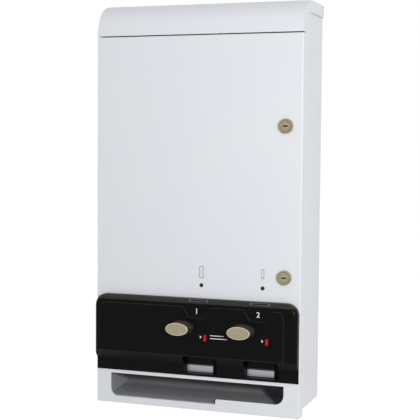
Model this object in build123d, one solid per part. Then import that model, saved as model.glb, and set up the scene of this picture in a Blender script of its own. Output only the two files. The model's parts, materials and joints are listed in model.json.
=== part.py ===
from build123d import *
import math
import os

# A wall-hung two-column dispenser for sanitary products, in millimetres.
# The origin is the centre of the four wall screw holes, on the back face of the cabinet.
# +X is to the right of someone who faces the front, +Y goes back to the wall, +Z goes up.

# Cabinet as a whole
cabinet_width = 356.0
cabinet_height = 673.0
cabinet_depth = 133.0
wall_screw_low_height = 230.0
wall_screw_top_drop = 113.0
wall_screw_spacing_x = 200.0
wall_screw_hole_radius = 3.5
cut_overrun = 2.0
fit_gap = 0.3

# Sheet metal
door_sheet = 1.2
hood_sheet = 1.2
shell_sheet = 1.2
bracket_sheet = 1.5
magazine_sheet = 1.2

# Door
door_return = 21.0
door_bend_radius = 1.5
indicator_hole_radius = 3.5
indicator_rise = 21.3

# Hood
hood_height = 54.4
hood_lip = 1.4
hood_skirt = 20.0
hood_slit = 1.6
hood_stud_radius = 2.0
hood_stud_length = 7.0
hood_stud_margin = 48.0
hood_stud_gap = 5.0
hood_stud_back = 20.0
hood_nut_across = 7.0
hood_nut_height = 3.2

# Cabinet shell
shell_front_step = 14.0
shell_base_height = 9.5
shell_radius_step = 3.0
shell_corner_radius = 3.0
shell_flange_width = 14.0
shell_flange_margin = 3.0
shell_notch_gap = 1.5

# Piano hinge on the left
hinge_leaf = 1.0
hinge_gap = 0.2
hinge_knuckle_radius = 2.2
hinge_pin_radius = 1.1
hinge_pin_gap = 0.05
hinge_top_margin = 23.0
hinge_knuckles = 19
hinge_knuckle_gap = 0.4
hinge_base_height = 24.0
hinge_back_gap = 0.6
hinge_leaf_width = 17.0
hinge_rivet_radius = 1.5
hinge_rivet_head_radius = 3.0
hinge_rivet_head = 0.9
hinge_rivets_per_leaf = 8
hinge_rivet_share = 2 / 3

# Vending columns: the first serves pads, the second tampons
column_last_share = 0.177
column_count = 2

# Black control panel
panel_side_margin = 1.0
panel_top_height = 187.0
panel_bottom_height = 57.0
panel_corner_radius = 20.0
panel_bulge = 14.5
panel_bulge_rise = 1.5
panel_slant = 15.0
panel_skirt = 1.5
panel_wall = 2.5
panel_edge_radius = 8.0
panel_boss_radius = 4.0
panel_screw_radius = 1.5
panel_screw_head_radius = 3.5
panel_screw_head = 2.0
panel_screw_depth = 7.0
panel_screw_side = 14.5
panel_screw_rise = 20.0
panel_screw_drop = 15.0

# Raised field on the panel, with a notch above each button for the column number
field_rise = 1.0
field_left_margin = 11.0
field_right_margin = 23.0
field_top_margin = 13.0
field_corner_radius = 12.0
field_bevel = 0.8
notch_offset = -2.5
notch_top_half = 24.0
notch_floor_half = 13.0
notch_depth = 18.0

# Oval push buttons
button_offset = -27.7
button_height_share = 0.637
button_half_width = 19.3
button_half_height = 10.4
button_reach = 27.0
button_tail = 8.0
button_travel = 18.0
button_gap = 0.4
button_rim = 1.3
button_dish = 0.8
button_edge = 0.6
bezel_wall = 1.9
bezel_rise = 1.8
bezel_edge = 0.7

# Button stems, pushers and return springs
stem_radius = 4.0
stem_gap = 0.05
stem_socket = 4.0
pusher_half_width = 2.5
pusher_thickness = 3.0
pusher_half_height = 5.0
pusher_play = 0.5
pusher_bar_gap = 1.0
bush_radius = 8.0
bush_length = 6.0
spring_radius = 6.4
spring_wire_radius = 0.6
spring_turns = 9

# Mechanism frames behind the panel
mech_side_gap = 10.0
mech_gap = 9.0
mech_flange = 8.0
mech_top_inset = 1.0
mech_depth = 50.0
window_margin = 1.6
mech_screw_radius = 1.5
mech_screw_head_radius = 2.8
mech_screw_head = 1.8
mech_screw_head_gap = 0.2
mech_screw_tip = 2.0
mech_screw_rise = 47.0
mech_screw_drop = 10.0

# Coin slots and coin chutes
slot_plate_width = 33.0
slot_plate_height = 4.4
slot_plate_thickness = 1.8
slot_plate_proud = 0.4
slot_plate_tilt_degrees = 38.0
slot_plate_gap = 0.1
slot_width = 27.0
slot_opening = 2.2
chute_width = 32.0
chute_depth = 6.0
chute_wall = 1.3
chute_mouth_reach = 7.5
chute_mouth_drop = 8.0
chute_turn_depth = 31.0
chute_fall = 27.5
chute_outlet_rise = 6.5
chute_rib_width = 4.0
chute_rib_rise = 5.0
chute_rib_tall = 14.0

# Coin return levers
lever_offset = 12.5
lever_height_share = 0.515
lever_width = 4.2
lever_tall = 10.4
lever_proud = 3.2
lever_edge = 1.6
lever_travel = 6.0
lever_slot_gap = 0.5
lever_plate_half = 11.0
lever_plate_tall = 18.0
lever_plate = 2.0
lever_finger = 4.0
lever_finger_gap = 0.8

# Coin return cups and flaps
cup_half_width = 29.0
cup_floor_rise = 4.0
cup_tall = 29.5
cup_wall = 2.0
cup_depth = 37.0
cup_mouth_radius = 4.0
cup_back_left = 28.0
cup_back_right = 19.0
cup_throat_depth = 8.0
cup_throat_drop = 13.0
flap_pin_drop = 15.5
flap_pin_depth = 9.5
flap_pin_radius = 1.2
flap_pin_gap = 0.06
flap_pin_seat = 1.5
flap_barrel_radius = 2.1
flap_thickness = 1.2
flap_side_gap = 0.5
flap_floor_gap = 0.6

# Coin box and its bracket on the door
coin_box_left_share = 0.08
coin_box_side_gap = 15.0
coin_box_front = 6.0
coin_box_back_gap = 2.0
coin_box_rise = 14.0
coin_box_height = 96.0
coin_box_sheet = 1.2
coin_box_gap = 0.4
coin_box_lip = 10.0
coin_bracket_lip = 16.0
coin_bracket_back_height = 40.0
coin_bracket_screw_rise = 28.0
coin_bracket_screw_shares = (0.2, 0.8)

# Cam locks
lock_side_margin = 26.5
lock_upper_drop = 147.4
lock_lower_rise = 40.5
lock_head_radius = 11.8
lock_head = 5.0
lock_head_edge = 1.0
lock_ring_radius = 9.2
lock_ring_step = 0.8
lock_body_radius = 9.5
lock_body_gap = 0.1
lock_plug_radius = 6.6
lock_plug_gap = 0.05
lock_plug_dome = 0.6
key_slot_length = 8.4
key_slot_width = 2.2
key_slot_depth = 6.0
lock_nut_radius = 13.0
lock_nut_height = 3.0
lock_keeper = 2.0
lock_keeper_width = 11.0
lock_keeper_tall = 44.0
lock_cam_gap = 0.3
lock_cam_sheet = 2.0
lock_cam_reach = 22.0
lock_cam_width = 12.0
lock_tail_radius = 3.6
lock_rivet_radius = 5.0
lock_rivet_head = 1.2

# Magazines for the products
magazine_front_gap = 22.0
magazine_back_step = 8.0
magazine_top_drop = 33.0
magazine_lip_drop = 4.3
magazine_skirt = 15.0
magazine_lip = 9.0
magazine_strap_rise = 2.0
magazine_strap = 11.0
magazine_window = 17.0
magazine_stop = 3.0
magazine_stop_length = 12.0
magazine_stop_thickness = 2.0
magazine_access_radius = 9.0
magazine_side_margin = 28.0
pad_magazine_margin = 2.0
magazine_gap = 14.0
rail_low_height = 300.0
rail_top_drop = 73.0
rail_height = 30.0
rail_crown = 14.0
rail_side_margin = 16.0
rail_sheet = 1.2
rail_screw_inset = 18.0
rail_screw_radius = 2.0
rail_screw_head_radius = 4.0
rail_screw_head = 1.0

# Dispensing drums
drum_drop = 31.0
drum_side_gap = 0.9
drum_wall = 2.0
drum_trough_degrees = 140.0
drum_end_gap = 0.6
drum_end_wall = 2.4
drum_hub_radius = 7.0
crank_radius = 18.0
crank_tip_radius = 3.0
crank_thickness = 4.0
crank_wall_gap = 1.5
crank_disc_gap = 3.0
pivot_radius = 3.0
pivot_gap = 0.05
pivot_head_radius = 5.0
pivot_head = 2.4

# Follower weights on the stacks
follower_height = 16.0
follower_side_gap = 1.0
follower_front_gap = 1.0
follower_back_gap = 1.6
follower_rest_gap = 0.3
follower_notch_width = 8.0
follower_notch_depth = 5.0
follower_grip_width = 34.0
follower_grip_height = 18.0
follower_grip = 3.0

# Sold-out flags behind the indicator holes
flag_pivot_reach = 5.0
flag_pivot_rise = 5.7
flag_pivot_radius = 1.5
flag_pivot_gap = 0.06
flag_offset = -6.0
flag_width = 2.6
flag_arm_tall = 5.0
flag_hub_radius = 3.5
flag_hub_gap = 0.4
flag_plate_half = 6.5
flag_plate_thickness = 1.5
flag_door_gap = 1.2
flag_nose_radius = 1.6
flag_nose_back = 8.0
flag_nose_rise = 12.0
flag_lug_half = 5.0
flag_lug_reach = 9.0
flag_pin_head = 1.0
flag_window_half = 3.0

# Delivery tray and drop chute
tray_side_margin = 24.0
tray_wall = 2.0
tray_front_gap = 0.8
tray_lip_height = 13.2
tray_floor_height = 20.0
tray_floor_depth = 60.0
tray_back_gap = 33.0
tray_top_drop = 1.0
tray_foot_width = 9.0
tray_foot_front = 20.0
tray_foot_inset = 4.0
tray_screw_radius = 1.5
tray_screw_head_radius = 3.0
tray_screw_head = 1.4
drop_sheet = 1.2
drop_top_drop = 24.0
drop_flange = 16.0
drop_side_margin = 20.0
drop_seat_gap = 0.3

# Tray opening in the door, with its stepped lower edge
opening_left_margin = 26.0
opening_right_margin = 26.0
opening_top_drop = 6.0
opening_low_height = 11.0
opening_high_height = 20.5
opening_step_x = 214.0
opening_corner_radius = 15.0
opening_step_radius = 3.0

# Widths and depths that follow from the sizes
left = -cabinet_width / 2
right = cabinet_width / 2
mech_left = button_half_width - button_offset + mech_side_gap
mech_right = cup_half_width + mech_side_gap
column_pitch = mech_left + mech_right + mech_gap
column_first_x = right - cabinet_width * column_last_share - column_pitch * (column_count - 1)
columns = [column_first_x + column_pitch * index for index in range(column_count)]
coin_box_left = left + cabinet_width * coin_box_left_share
coin_box_width = columns[0] - mech_left - coin_box_side_gap - coin_box_left
coin_box_depth = mech_depth - coin_box_back_gap
pad_magazine_right = columns[0] - pad_magazine_margin
magazines = [
    ("pad", left + magazine_side_margin, pad_magazine_right, columns[0]),
    ("tampon", pad_magazine_right + magazine_gap, right - magazine_side_margin, columns[1]),
]
magazine_depth = cabinet_depth - mech_depth - magazine_front_gap - magazine_back_step - 2 * magazine_sheet
hood_stud_spacing = cabinet_width - 2 * hood_stud_margin
rail_half_length = right - rail_side_margin
tray_half_width = right - tray_side_margin
tray_back_depth = cabinet_depth - tray_back_gap
tray_foot_back = tray_back_depth - tray_foot_inset
drop_half_width = right - drop_side_margin

# Heights above the bottom edge of the door
wall_screw_spacing_z = cabinet_height - wall_screw_top_drop - wall_screw_low_height
wall_screw_height = wall_screw_low_height + wall_screw_spacing_z / 2
door_height = cabinet_height - hood_height - hood_slit
hinge_length = door_height - hinge_base_height - hinge_top_margin
panel_tall = panel_top_height - panel_bottom_height
opening_top_height = panel_bottom_height - opening_top_drop
tray_top_height = panel_bottom_height - tray_top_drop
cup_floor_height = panel_bottom_height + cup_floor_rise
cup_top_height = cup_floor_height + cup_tall
cup_throat_height = cup_top_height - cup_throat_drop
flap_pin_height = cup_top_height - flap_pin_drop
panel_bulge_bottom = cup_top_height + panel_bulge_rise
panel_slant_end = panel_bulge_bottom - panel_slant
panel_screw_low = panel_bulge_bottom + panel_screw_rise
panel_screw_high = panel_top_height - panel_screw_drop
field_top_height = panel_top_height - field_top_margin
notch_floor_height = field_top_height - notch_depth
button_height = panel_bottom_height + panel_tall * button_height_share
lever_height = panel_bottom_height + panel_tall * lever_height_share
mech_bottom_height = panel_bottom_height
mech_top_height = panel_top_height - mech_top_inset
mech_screw_low = mech_bottom_height + mech_screw_rise
mech_screw_high = mech_top_height - mech_screw_drop
chute_mouth_height = panel_top_height - chute_mouth_drop
chute_turn_height = chute_mouth_height - chute_fall
chute_outlet_height = cup_throat_height + chute_outlet_rise
chute_rib_low = chute_outlet_height + chute_rib_rise
chute_rib_high = chute_rib_low + chute_rib_tall
coin_box_bottom_height = tray_top_height + coin_box_rise
coin_bracket_screw_height = coin_box_bottom_height + coin_bracket_screw_rise
indicator_height = panel_top_height + indicator_rise
lock_lower_height = panel_top_height + lock_lower_rise
lock_upper_height = door_height - lock_upper_drop
flag_pivot_height = indicator_height + flag_pivot_rise
magazine_lip_height = indicator_height - magazine_lip_drop
magazine_strap_low = magazine_lip_height + magazine_strap_rise
magazine_strap_high = magazine_strap_low + magazine_strap
magazine_window_high = magazine_strap_high + magazine_window
magazine_top_height = cabinet_height - magazine_top_drop
rail_high_height = cabinet_height - rail_top_drop
drum_height = magazine_lip_height - drum_drop
magazine_bottom_height = drum_height - magazine_skirt
drop_top_height = magazine_bottom_height - drop_top_drop

# Places in the part's frame
front = -cabinet_depth
back = 0
base = -wall_screw_height
top = base + cabinet_height
door_top = base + door_height
door_back = front + door_sheet
hood_bottom = door_top + hood_slit
hood_radius = hood_height - hood_lip
shell_radius = hood_radius - shell_radius_step
hood_stud_front = cabinet_depth - shell_front_step - shell_radius - hood_stud_gap
shell_half = right - door_sheet - hinge_leaf - hinge_gap
shell_front = front + shell_front_step
shell_base = base + shell_base_height
shell_top = top - hood_sheet
flange_back = shell_front + shell_sheet
hinge_y = front + door_return + hinge_back_gap + hinge_knuckle_radius
panel_face = front - panel_bulge
field_face = panel_face - field_rise
button_z = base + button_height
button_face = panel_face - button_reach
mech_back = front + mech_depth
magazine_back = back - magazine_back_step
magazine_inner_back = magazine_back - magazine_sheet
magazine_inner_front = magazine_inner_back - magazine_depth
magazine_front = magazine_inner_front - magazine_sheet
drum_radius = magazine_depth / 2 - drum_side_gap
drum_y = (magazine_inner_back + magazine_inner_front) / 2
drum_z = base + drum_height
drum_swing = 2 * math.asin(button_travel / (2 * crank_radius))
crank_rest = drum_swing / 2
pusher_face = drum_y - crank_radius * math.sin(crank_rest) - crank_tip_radius - pusher_play
pusher_top = drum_z - crank_radius * math.cos(crank_rest) - 2 * pusher_play
crank_offset = crank_wall_gap + crank_thickness / 2
lock_x = right - lock_side_margin
keeper_back = flange_back + lock_keeper
cam_front = keeper_back + lock_cam_gap
flag_y = magazine_front - flag_pivot_reach
flag_z = base + flag_pivot_height


def at(height):
    """The Z of a height above the bottom edge of the door."""
    return base + height


def block(x0, x1, y0, y1, z0, z1):
    """A block between two corners."""
    return Pos((x0 + x1) / 2, (y0 + y1) / 2, (z0 + z1) / 2) * Box(x1 - x0, y1 - y0, z1 - z0)


def rod_x(y, z, radius, x0, x1):
    """A round bar along X."""
    return Pos((x0 + x1) / 2, y, z) * Rot(0, 90, 0) * Cylinder(radius, x1 - x0)


def rod_y(x, z, radius, y0, y1):
    """A round bar along Y."""
    return Pos(x, (y0 + y1) / 2, z) * Rot(90, 0, 0) * Cylinder(radius, y1 - y0)


def rod_z(x, y, radius, z0, z1):
    """A round bar along Z."""
    return Pos(x, y, (z0 + z1) / 2) * Cylinder(radius, z1 - z0)


def slab_x(sketch, x0, x1):
    """A sketch drawn in (y, z), made solid between two places along X."""
    plane = Plane(origin=(x0, 0, 0), x_dir=(0, 1, 0), z_dir=(1, 0, 0))
    return extrude(plane * sketch, amount=x1 - x0)


def slab_y(sketch, y0, y1):
    """A sketch drawn in (x, z), made solid between two places along Y."""
    plane = Plane(origin=(0, y1, 0), x_dir=(1, 0, 0), z_dir=(0, -1, 0))
    return extrude(plane * sketch, amount=y1 - y0)


def slab_z(sketch, z0, z1):
    """A sketch drawn in (x, y), made solid between two heights."""
    return extrude(Plane(origin=(0, 0, z0)) * sketch, amount=z1 - z0)


def outline(points):
    """A flat face inside a closed line of points."""
    return make_face(Polyline(*points, close=True))


def rectangle(a0, a1, b0, b1):
    """A rectangle between two corners of a sketch."""
    return Pos((a0 + a1) / 2, (b0 + b1) / 2) * Rectangle(a1 - a0, b1 - b0)


def band(points, thickness):
    """A strip of even thickness on the left of a line of points."""
    normals = []
    for (a0, b0), (a1, b1) in zip(points, points[1:]):
        run = math.hypot(a1 - a0, b1 - b0)
        normals.append(((b0 - b1) / run, (a1 - a0) / run))
    far = []
    for index, (a, b) in enumerate(points):
        n0 = normals[max(index - 1, 0)]
        n1 = normals[min(index, len(normals) - 1)]
        share = thickness / (1 + n0[0] * n1[0] + n0[1] * n1[1])
        far.append((a + (n0[0] + n1[0]) * share, b + (n0[1] + n1[1]) * share))
    return outline(points + far[::-1])


def group(pieces):
    """Separate solids that share one node."""
    return Compound(children=[piece for piece in pieces])


def side_profile(y0, y1, z0, z1, front_radius, back_radius):
    """Side view of the cabinet: rounded at the front of the top and at the back of the foot."""
    shape = rectangle(y0, y1, z0, z1)
    corner = shape.vertices().sort_by(Axis.Y)[-2:].sort_by(Axis.X)[0]
    shape = fillet(corner, front_radius)
    if back_radius > 0:
        corner = shape.vertices().sort_by(Axis.Y)[:2].sort_by(Axis.X)[-1]
        shape = fillet(corner, back_radius)
    return shape


# Hood, shell and what holds them
def stud_places():
    """The four studs that hold the hood."""
    rows = (-hood_stud_front, -hood_stud_back)
    return [(side * hood_stud_spacing / 2, y) for side in (-1, 1) for y in rows]


def hood_cover():
    """Rolled top cover: a quarter-round front, a flat top and a skirt at both sides."""
    outer = side_profile(front, back, hood_bottom, top, hood_radius, 0)
    inner = side_profile(front + hood_sheet, back + cut_overrun, hood_bottom - cut_overrun,
                         top - hood_sheet, hood_radius - hood_sheet, 0)
    below_skirt = side_profile(front + hood_skirt, back + cut_overrun, hood_bottom - cut_overrun,
                               top - hood_skirt, hood_radius - hood_skirt, 0)
    shape = slab_x(outer, left, right)
    shape -= slab_x(inner, left + hood_sheet, right - hood_sheet)
    shape -= slab_x(below_skirt, left - cut_overrun, right + cut_overrun)
    for x, y in stud_places():
        shape += rod_z(x, y, hood_stud_radius, shell_top - hood_stud_length, shell_top)
    return shape


def hood_nuts():
    """Nuts on the hood's studs, under the top of the shell."""
    under = shell_top - shell_sheet
    nuts = []
    for x, y in stud_places():
        hexagon = Pos(x, y) * RegularPolygon(hood_nut_across / 2, 6, major_radius=False)
        nut = slab_z(hexagon, under - hood_nut_height, under)
        nuts.append(nut - rod_z(x, y, hood_stud_radius, under - hood_nut_height, under))
    return group(nuts)


def wall_screw_places():
    """The four wall screws, as (x, z)."""
    return [(sx * wall_screw_spacing_x / 2, sz * wall_screw_spacing_z / 2)
            for sx in (-1, 1) for sz in (-1, 1)]


def rivet_heights():
    """Heights of the rivets in the cabinet's hinge leaf, in its own knuckles' stretches."""
    pitch = hinge_length / hinge_knuckles
    step = (hinge_knuckles - 1) / (hinge_rivets_per_leaf - 1)
    return [at(hinge_base_height) + pitch * (round(step * index) + 1 / 2)
            for index in range(hinge_rivets_per_leaf)]


def rivet_y():
    """How far back the hinge rivets sit."""
    return hinge_y + hinge_leaf_width * hinge_rivet_share


def cabinet_shell():
    """Folded back, sides, foot and inner top in one sheet, open at the front."""
    outer = side_profile(shell_front, back, shell_base, shell_top, shell_radius, shell_corner_radius)
    inner = side_profile(shell_front + shell_sheet, back - shell_sheet, shell_base + shell_sheet,
                         shell_top - shell_sheet, shell_radius - shell_sheet,
                         shell_corner_radius - shell_sheet)
    inside = shell_half - shell_sheet
    shape = slab_x(outer, -shell_half, shell_half)
    shape -= slab_x(inner, -inside, inside)
    shape -= block(-inside, inside, shell_front - cut_overrun, shell_front + shell_radius / 2,
                   shell_base + shell_sheet, shell_top - shell_radius)
    for side in (-1, 1):
        edges = sorted((side * (inside + shell_sheet / 2), side * (shell_half - shell_flange_width)))
        shape += block(edges[0], edges[1], shell_front, flange_back,
                       shell_base + shell_sheet + shell_flange_margin,
                       door_top - door_sheet - shell_flange_margin)
    shape -= block(left, right, shell_front - cut_overrun, front + door_return + shell_notch_gap,
                   door_top - door_sheet - shell_notch_gap, door_top + shell_notch_gap)
    for x, z in wall_screw_places():
        shape -= rod_y(x, z, wall_screw_hole_radius, back - shell_sheet - cut_overrun, back + cut_overrun)
    for x, y in stud_places():
        shape -= rod_z(x, y, hood_stud_radius, shell_top - shell_sheet - cut_overrun, shell_top + cut_overrun)
    for z in rivet_heights():
        shape -= rod_x(rivet_y(), z, hinge_rivet_radius, -shell_half - cut_overrun, -inside + cut_overrun)
    for x, y in tray_screw_places():
        shape -= rod_z(x, y, tray_screw_radius, shell_base - cut_overrun,
                       shell_base + shell_sheet + cut_overrun)
    for x, z in drop_screw_places():
        shape -= rod_y(x, z, tray_screw_radius, back - shell_sheet - cut_overrun, back + cut_overrun)
    return shape


# Hinge
def hinge_leaf_part(owner, leaf_x0, leaf_x1, direction):
    """One leaf of the piano hinge, with every second knuckle."""
    pitch = hinge_length / hinge_knuckles
    bottom = at(hinge_base_height)
    reach = hinge_knuckle_radius + hinge_knuckle_gap
    ys = sorted((hinge_y + direction * reach, hinge_y + direction * hinge_leaf_width))
    shape = block(leaf_x0, leaf_x1, ys[0], ys[1], bottom, bottom + hinge_length)
    bore = rod_z(left, hinge_y, hinge_pin_radius + hinge_pin_gap, bottom - cut_overrun,
                 bottom + hinge_length + cut_overrun)
    for index in range(owner, hinge_knuckles, 2):
        z0 = bottom + pitch * index + hinge_knuckle_gap / 2
        z1 = bottom + pitch * (index + 1) - hinge_knuckle_gap / 2
        bridge = sorted((hinge_y, hinge_y + direction * (reach + hinge_leaf)))
        shape += block(leaf_x0, leaf_x1, bridge[0], bridge[1], z0, z1)
        shape += rod_z(left, hinge_y, hinge_knuckle_radius, z0, z1)
    return shape - bore


def hinge_leaf_cabinet():
    """Leaf on the outside of the shell's left side."""
    shape = hinge_leaf_part(0, -shell_half - hinge_leaf, -shell_half, 1)
    for z in rivet_heights():
        shape -= rod_x(rivet_y(), z, hinge_rivet_radius, -shell_half - hinge_leaf - cut_overrun,
                       -shell_half + cut_overrun)
    return shape


def hinge_leaf_door():
    """Leaf welded inside the door's left return."""
    inner = left + door_sheet
    return hinge_leaf_part(1, inner, inner + hinge_leaf, -1)


def hinge_pin():
    """Pin through all the knuckles."""
    bottom = at(hinge_base_height)
    return rod_z(left, hinge_y, hinge_pin_radius, bottom, bottom + hinge_length)


def hinge_rivets():
    """Rivets that hold the cabinet's leaf."""
    rivets = []
    outside = -shell_half - hinge_leaf
    inside = -shell_half + shell_sheet
    for z in rivet_heights():
        rivet = rod_x(rivet_y(), z, hinge_rivet_radius, outside, inside)
        rivet += rod_x(rivet_y(), z, hinge_rivet_head_radius, outside - hinge_rivet_head, outside)
        rivet += rod_x(rivet_y(), z, hinge_rivet_head_radius, inside, inside + hinge_rivet_head)
        rivets.append(rivet)
    return group(rivets)


# Door
def opening_outline():
    """The tray opening: rounded below, with the right part of its lower edge raised."""
    x0 = left + opening_left_margin
    x1 = right - opening_right_margin
    step_x = left + opening_step_x
    low = at(opening_low_height)
    high = at(opening_high_height)
    face = outline([(x0, at(opening_top_height)), (x0, low), (step_x, low), (step_x, high),
                    (x1, high), (x1, at(opening_top_height))])
    corners = face.vertices().sort_by(Axis.X)
    left_low = corners[:2].sort_by(Axis.Y)[0]
    right_low = corners[-2:].sort_by(Axis.Y)[0]
    face = fillet([left_low, right_low], opening_corner_radius)
    near = opening_step_radius
    step_top = [corner for corner in face.vertices()
                if abs(corner.X - step_x) < near and abs(corner.Y - high) < near]
    return fillet(step_top, opening_step_radius)


def window_edges(column):
    """Left and right of the window behind the panel."""
    return column - mech_left + mech_flange, column + mech_right - mech_flange


def mech_screw_places():
    """Screws that hold the frames and the coin box bracket to the door, as (x, z)."""
    places = []
    for column in columns:
        inset = bracket_sheet + mech_screw_head_radius + mech_screw_head_gap
        for x in (column - mech_left + inset, column + mech_right - inset):
            for height in (mech_screw_low, mech_screw_high):
                places.append((x, at(height)))
    for share in coin_bracket_screw_shares:
        places.append((coin_box_left + coin_box_width * share, at(coin_bracket_screw_height)))
    return places


def panel_screw_places():
    """Screws that hold the black panel from inside the door, as (x, z)."""
    inset = panel_side_margin + panel_screw_side
    middle = (columns[0] + mech_right + columns[1] - mech_left) / 2
    return [(x, at(height)) for x in (left + inset, middle, right - inset)
            for height in (panel_screw_low, panel_screw_high)]


def door_panel():
    """Pan-shaped door: a front sheet with a return along each edge."""
    shape = block(left, right, front, front + door_return, base, door_top)
    shape = fillet(shape.faces().sort_by(Axis.Y)[0].edges(), door_bend_radius)
    shape -= block(left + door_sheet, right - door_sheet, door_back, front + door_return + cut_overrun,
                   base + door_sheet, door_top - door_sheet)
    cut0 = front - cut_overrun
    cut1 = door_back + cut_overrun
    shape -= slab_y(opening_outline(), cut0, cut1)
    for column in columns:
        x0, x1 = window_edges(column)
        shape -= block(x0, x1, cut0, cut1, at(mech_bottom_height) + window_margin,
                       at(mech_top_height) - window_margin)
        shape -= rod_y(column, at(indicator_height), indicator_hole_radius, cut0, cut1)
    for height in (lock_upper_height, lock_lower_height):
        shape -= rod_y(lock_x, at(height), lock_body_radius + lock_body_gap, cut0, cut1)
    for x, z in mech_screw_places():
        shape -= rod_y(x, z, mech_screw_radius, cut0, cut1)
    for x, z in panel_screw_places():
        shape -= rod_y(x, z, panel_screw_radius, cut0, cut1)
    return shape


# Control panel
def panel_envelope(inset):
    """The panel's solid form, set in from its outer faces; inset 0 is the outside."""
    x0 = left + panel_side_margin + inset
    x1 = right - panel_side_margin - inset
    z1 = at(panel_top_height) - inset
    y0 = panel_face + inset
    fall = panel_bulge_bottom - panel_slant_end
    reach = panel_bulge - panel_skirt
    slant_length = math.hypot(fall, reach)
    rise = inset * (slant_length - fall) / reach
    z_face = at(panel_bulge_bottom) + rise
    if inset > 0:
        y_end = front + cut_overrun
        z_end = z_face - (y_end - y0) * fall / reach
        side = outline([(y_end, z1), (y0, z1), (y0, z_face), (y_end, z_end)])
    else:
        skirt_y = front - panel_skirt
        side = outline([(front, z1), (y0, z1), (y0, z_face), (skirt_y, at(panel_slant_end)),
                        (skirt_y, at(panel_bottom_height)), (front, at(panel_bottom_height))])
    face = rectangle(x0, x1, at(panel_bottom_height), z1)
    corners = face.vertices().sort_by(Axis.Y)[-2:]
    face = fillet(corners, panel_corner_radius - inset)
    shape = slab_x(side, x0, x1) & slab_y(face, y0, front + cut_overrun)
    rim = [edge for edge in shape.edges()
           if abs(edge.center().Y - y0) < fit_gap and edge.center().Z > z_face + fit_gap]
    return fillet(rim, panel_edge_radius - inset)


def field_outline():
    """The raised field's front view, notched above each button."""
    x0 = left + field_left_margin
    x1 = right - field_right_margin
    z0 = at(panel_bulge_bottom)
    z1 = at(field_top_height)
    points = [(x0, z0), (x0, z1)]
    for column in columns:
        middle = column + notch_offset
        floor = at(notch_floor_height)
        points += [(middle - notch_top_half, z1), (middle - notch_floor_half, floor),
                   (middle + notch_floor_half, floor), (middle + notch_top_half, z1)]
    points += [(x1, z1), (x1, z0)]
    face = outline(points)
    corners = [corner for corner in face.vertices()
               if abs(corner.Y - z1) < fit_gap and min(abs(corner.X - x0), abs(corner.X - x1)) < fit_gap]
    return fillet(corners, field_corner_radius)


def button_oval(column, grow):
    """The button's oval section, as a sketch in (x, z)."""
    middle = Pos(column + button_offset, button_z)
    return middle * Ellipse(button_half_width + grow, button_half_height + grow)


def slot_plate_place(column):
    """Where the coin slot plate sits on the panel's rounded upper edge, looking out."""
    tilt = math.radians(slot_plate_tilt_degrees)
    y = panel_face + panel_edge_radius * (1 - math.cos(tilt))
    z = at(panel_top_height) - panel_edge_radius * (1 - math.sin(tilt))
    normal = (0, -math.cos(tilt), math.sin(tilt))
    return Plane(origin=(column, y, z), x_dir=(1, 0, 0), z_dir=normal)


def plate_block(column, width, height, depth, proud):
    """A block set square into the panel's rounded upper edge."""
    return slot_plate_place(column) * Pos(0, 0, proud - depth / 2) * Box(width, height, depth)


def lever_x(column):
    """Middle of the coin return lever."""
    return column + lever_offset


def panel_bosses():
    """Places of the screw posts inside the panel."""
    return [rod_y(x, z, panel_boss_radius, panel_face + panel_wall / 2, front)
            for x, z in panel_screw_places()]


def control_panel():
    """Moulded black panel with its bulge, raised field, bezels and openings."""
    shape = panel_envelope(0) - panel_envelope(panel_wall)
    field = slab_y(field_outline(), field_face, panel_face + panel_wall / 2)
    field = chamfer(field.faces().sort_by(Axis.Y)[0].edges(), field_bevel)
    shape += field
    for boss in panel_bosses():
        shape += boss
    for column in columns:
        bezel = slab_y(button_oval(column, bezel_wall + button_gap), field_face - bezel_rise, field_face)
        shape += fillet(bezel.faces().sort_by(Axis.Y)[0].edges(), bezel_edge)
    cut0 = field_face - cut_overrun
    cut1 = front + cut_overrun
    for column in columns:
        shape -= slab_y(button_oval(column, button_gap), cut0 - bezel_rise, cut1)
        middle = lever_x(column)
        shape -= block(middle - lever_width / 2 - lever_slot_gap,
                       middle + lever_width / 2 + lever_travel + lever_slot_gap, cut0, cut1,
                       at(lever_height) - lever_tall / 2 - lever_slot_gap,
                       at(lever_height) + lever_tall / 2 + lever_slot_gap)
        mouth = rectangle(column - cup_half_width, column + cup_half_width, at(cup_floor_height),
                          at(cup_top_height))
        shape -= slab_y(fillet(mouth.vertices(), cup_mouth_radius), cut0, cut1)
        shape -= plate_block(column, slot_plate_width + 2 * slot_plate_gap,
                             slot_plate_height + 2 * slot_plate_gap,
                             slot_plate_thickness - slot_plate_proud + cut_overrun, cut_overrun)
        shape -= plate_block(column, slot_width, slot_opening, panel_edge_radius, cut_overrun)
    for x, z in panel_screw_places():
        shape -= rod_y(x, z, panel_screw_radius, front - panel_screw_depth, cut1)
    return shape


def panel_screws():
    """Screws from inside the door into the panel's posts."""
    screws = []
    for x, z in panel_screw_places():
        screw = rod_y(x, z, panel_screw_radius, front - panel_screw_depth, door_back)
        screws.append(screw + rod_y(x, z, panel_screw_head_radius, door_back, door_back + panel_screw_head))
    return group(screws)


def coin_slot_plate(column):
    """Steel plate with the coin slot, let into the panel's upper edge."""
    shape = plate_block(column, slot_plate_width, slot_plate_height, slot_plate_thickness - slot_plate_gap,
                        slot_plate_proud)
    return shape - plate_block(column, slot_width, slot_opening, panel_edge_radius, cut_overrun)


# Push buttons
def push_button(column):
    """Oval button with a raised rim round its face."""
    tail = front + button_tail
    shape = slab_y(button_oval(column, 0), button_face, tail)
    shape = fillet(shape.faces().sort_by(Axis.Y)[0].edges(), button_edge)
    shape -= slab_y(button_oval(column, -button_rim), button_face - cut_overrun, button_face + button_dish)
    x = column + button_offset
    return shape - rod_y(x, button_z, stem_radius, tail - stem_socket, tail + cut_overrun)


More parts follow.
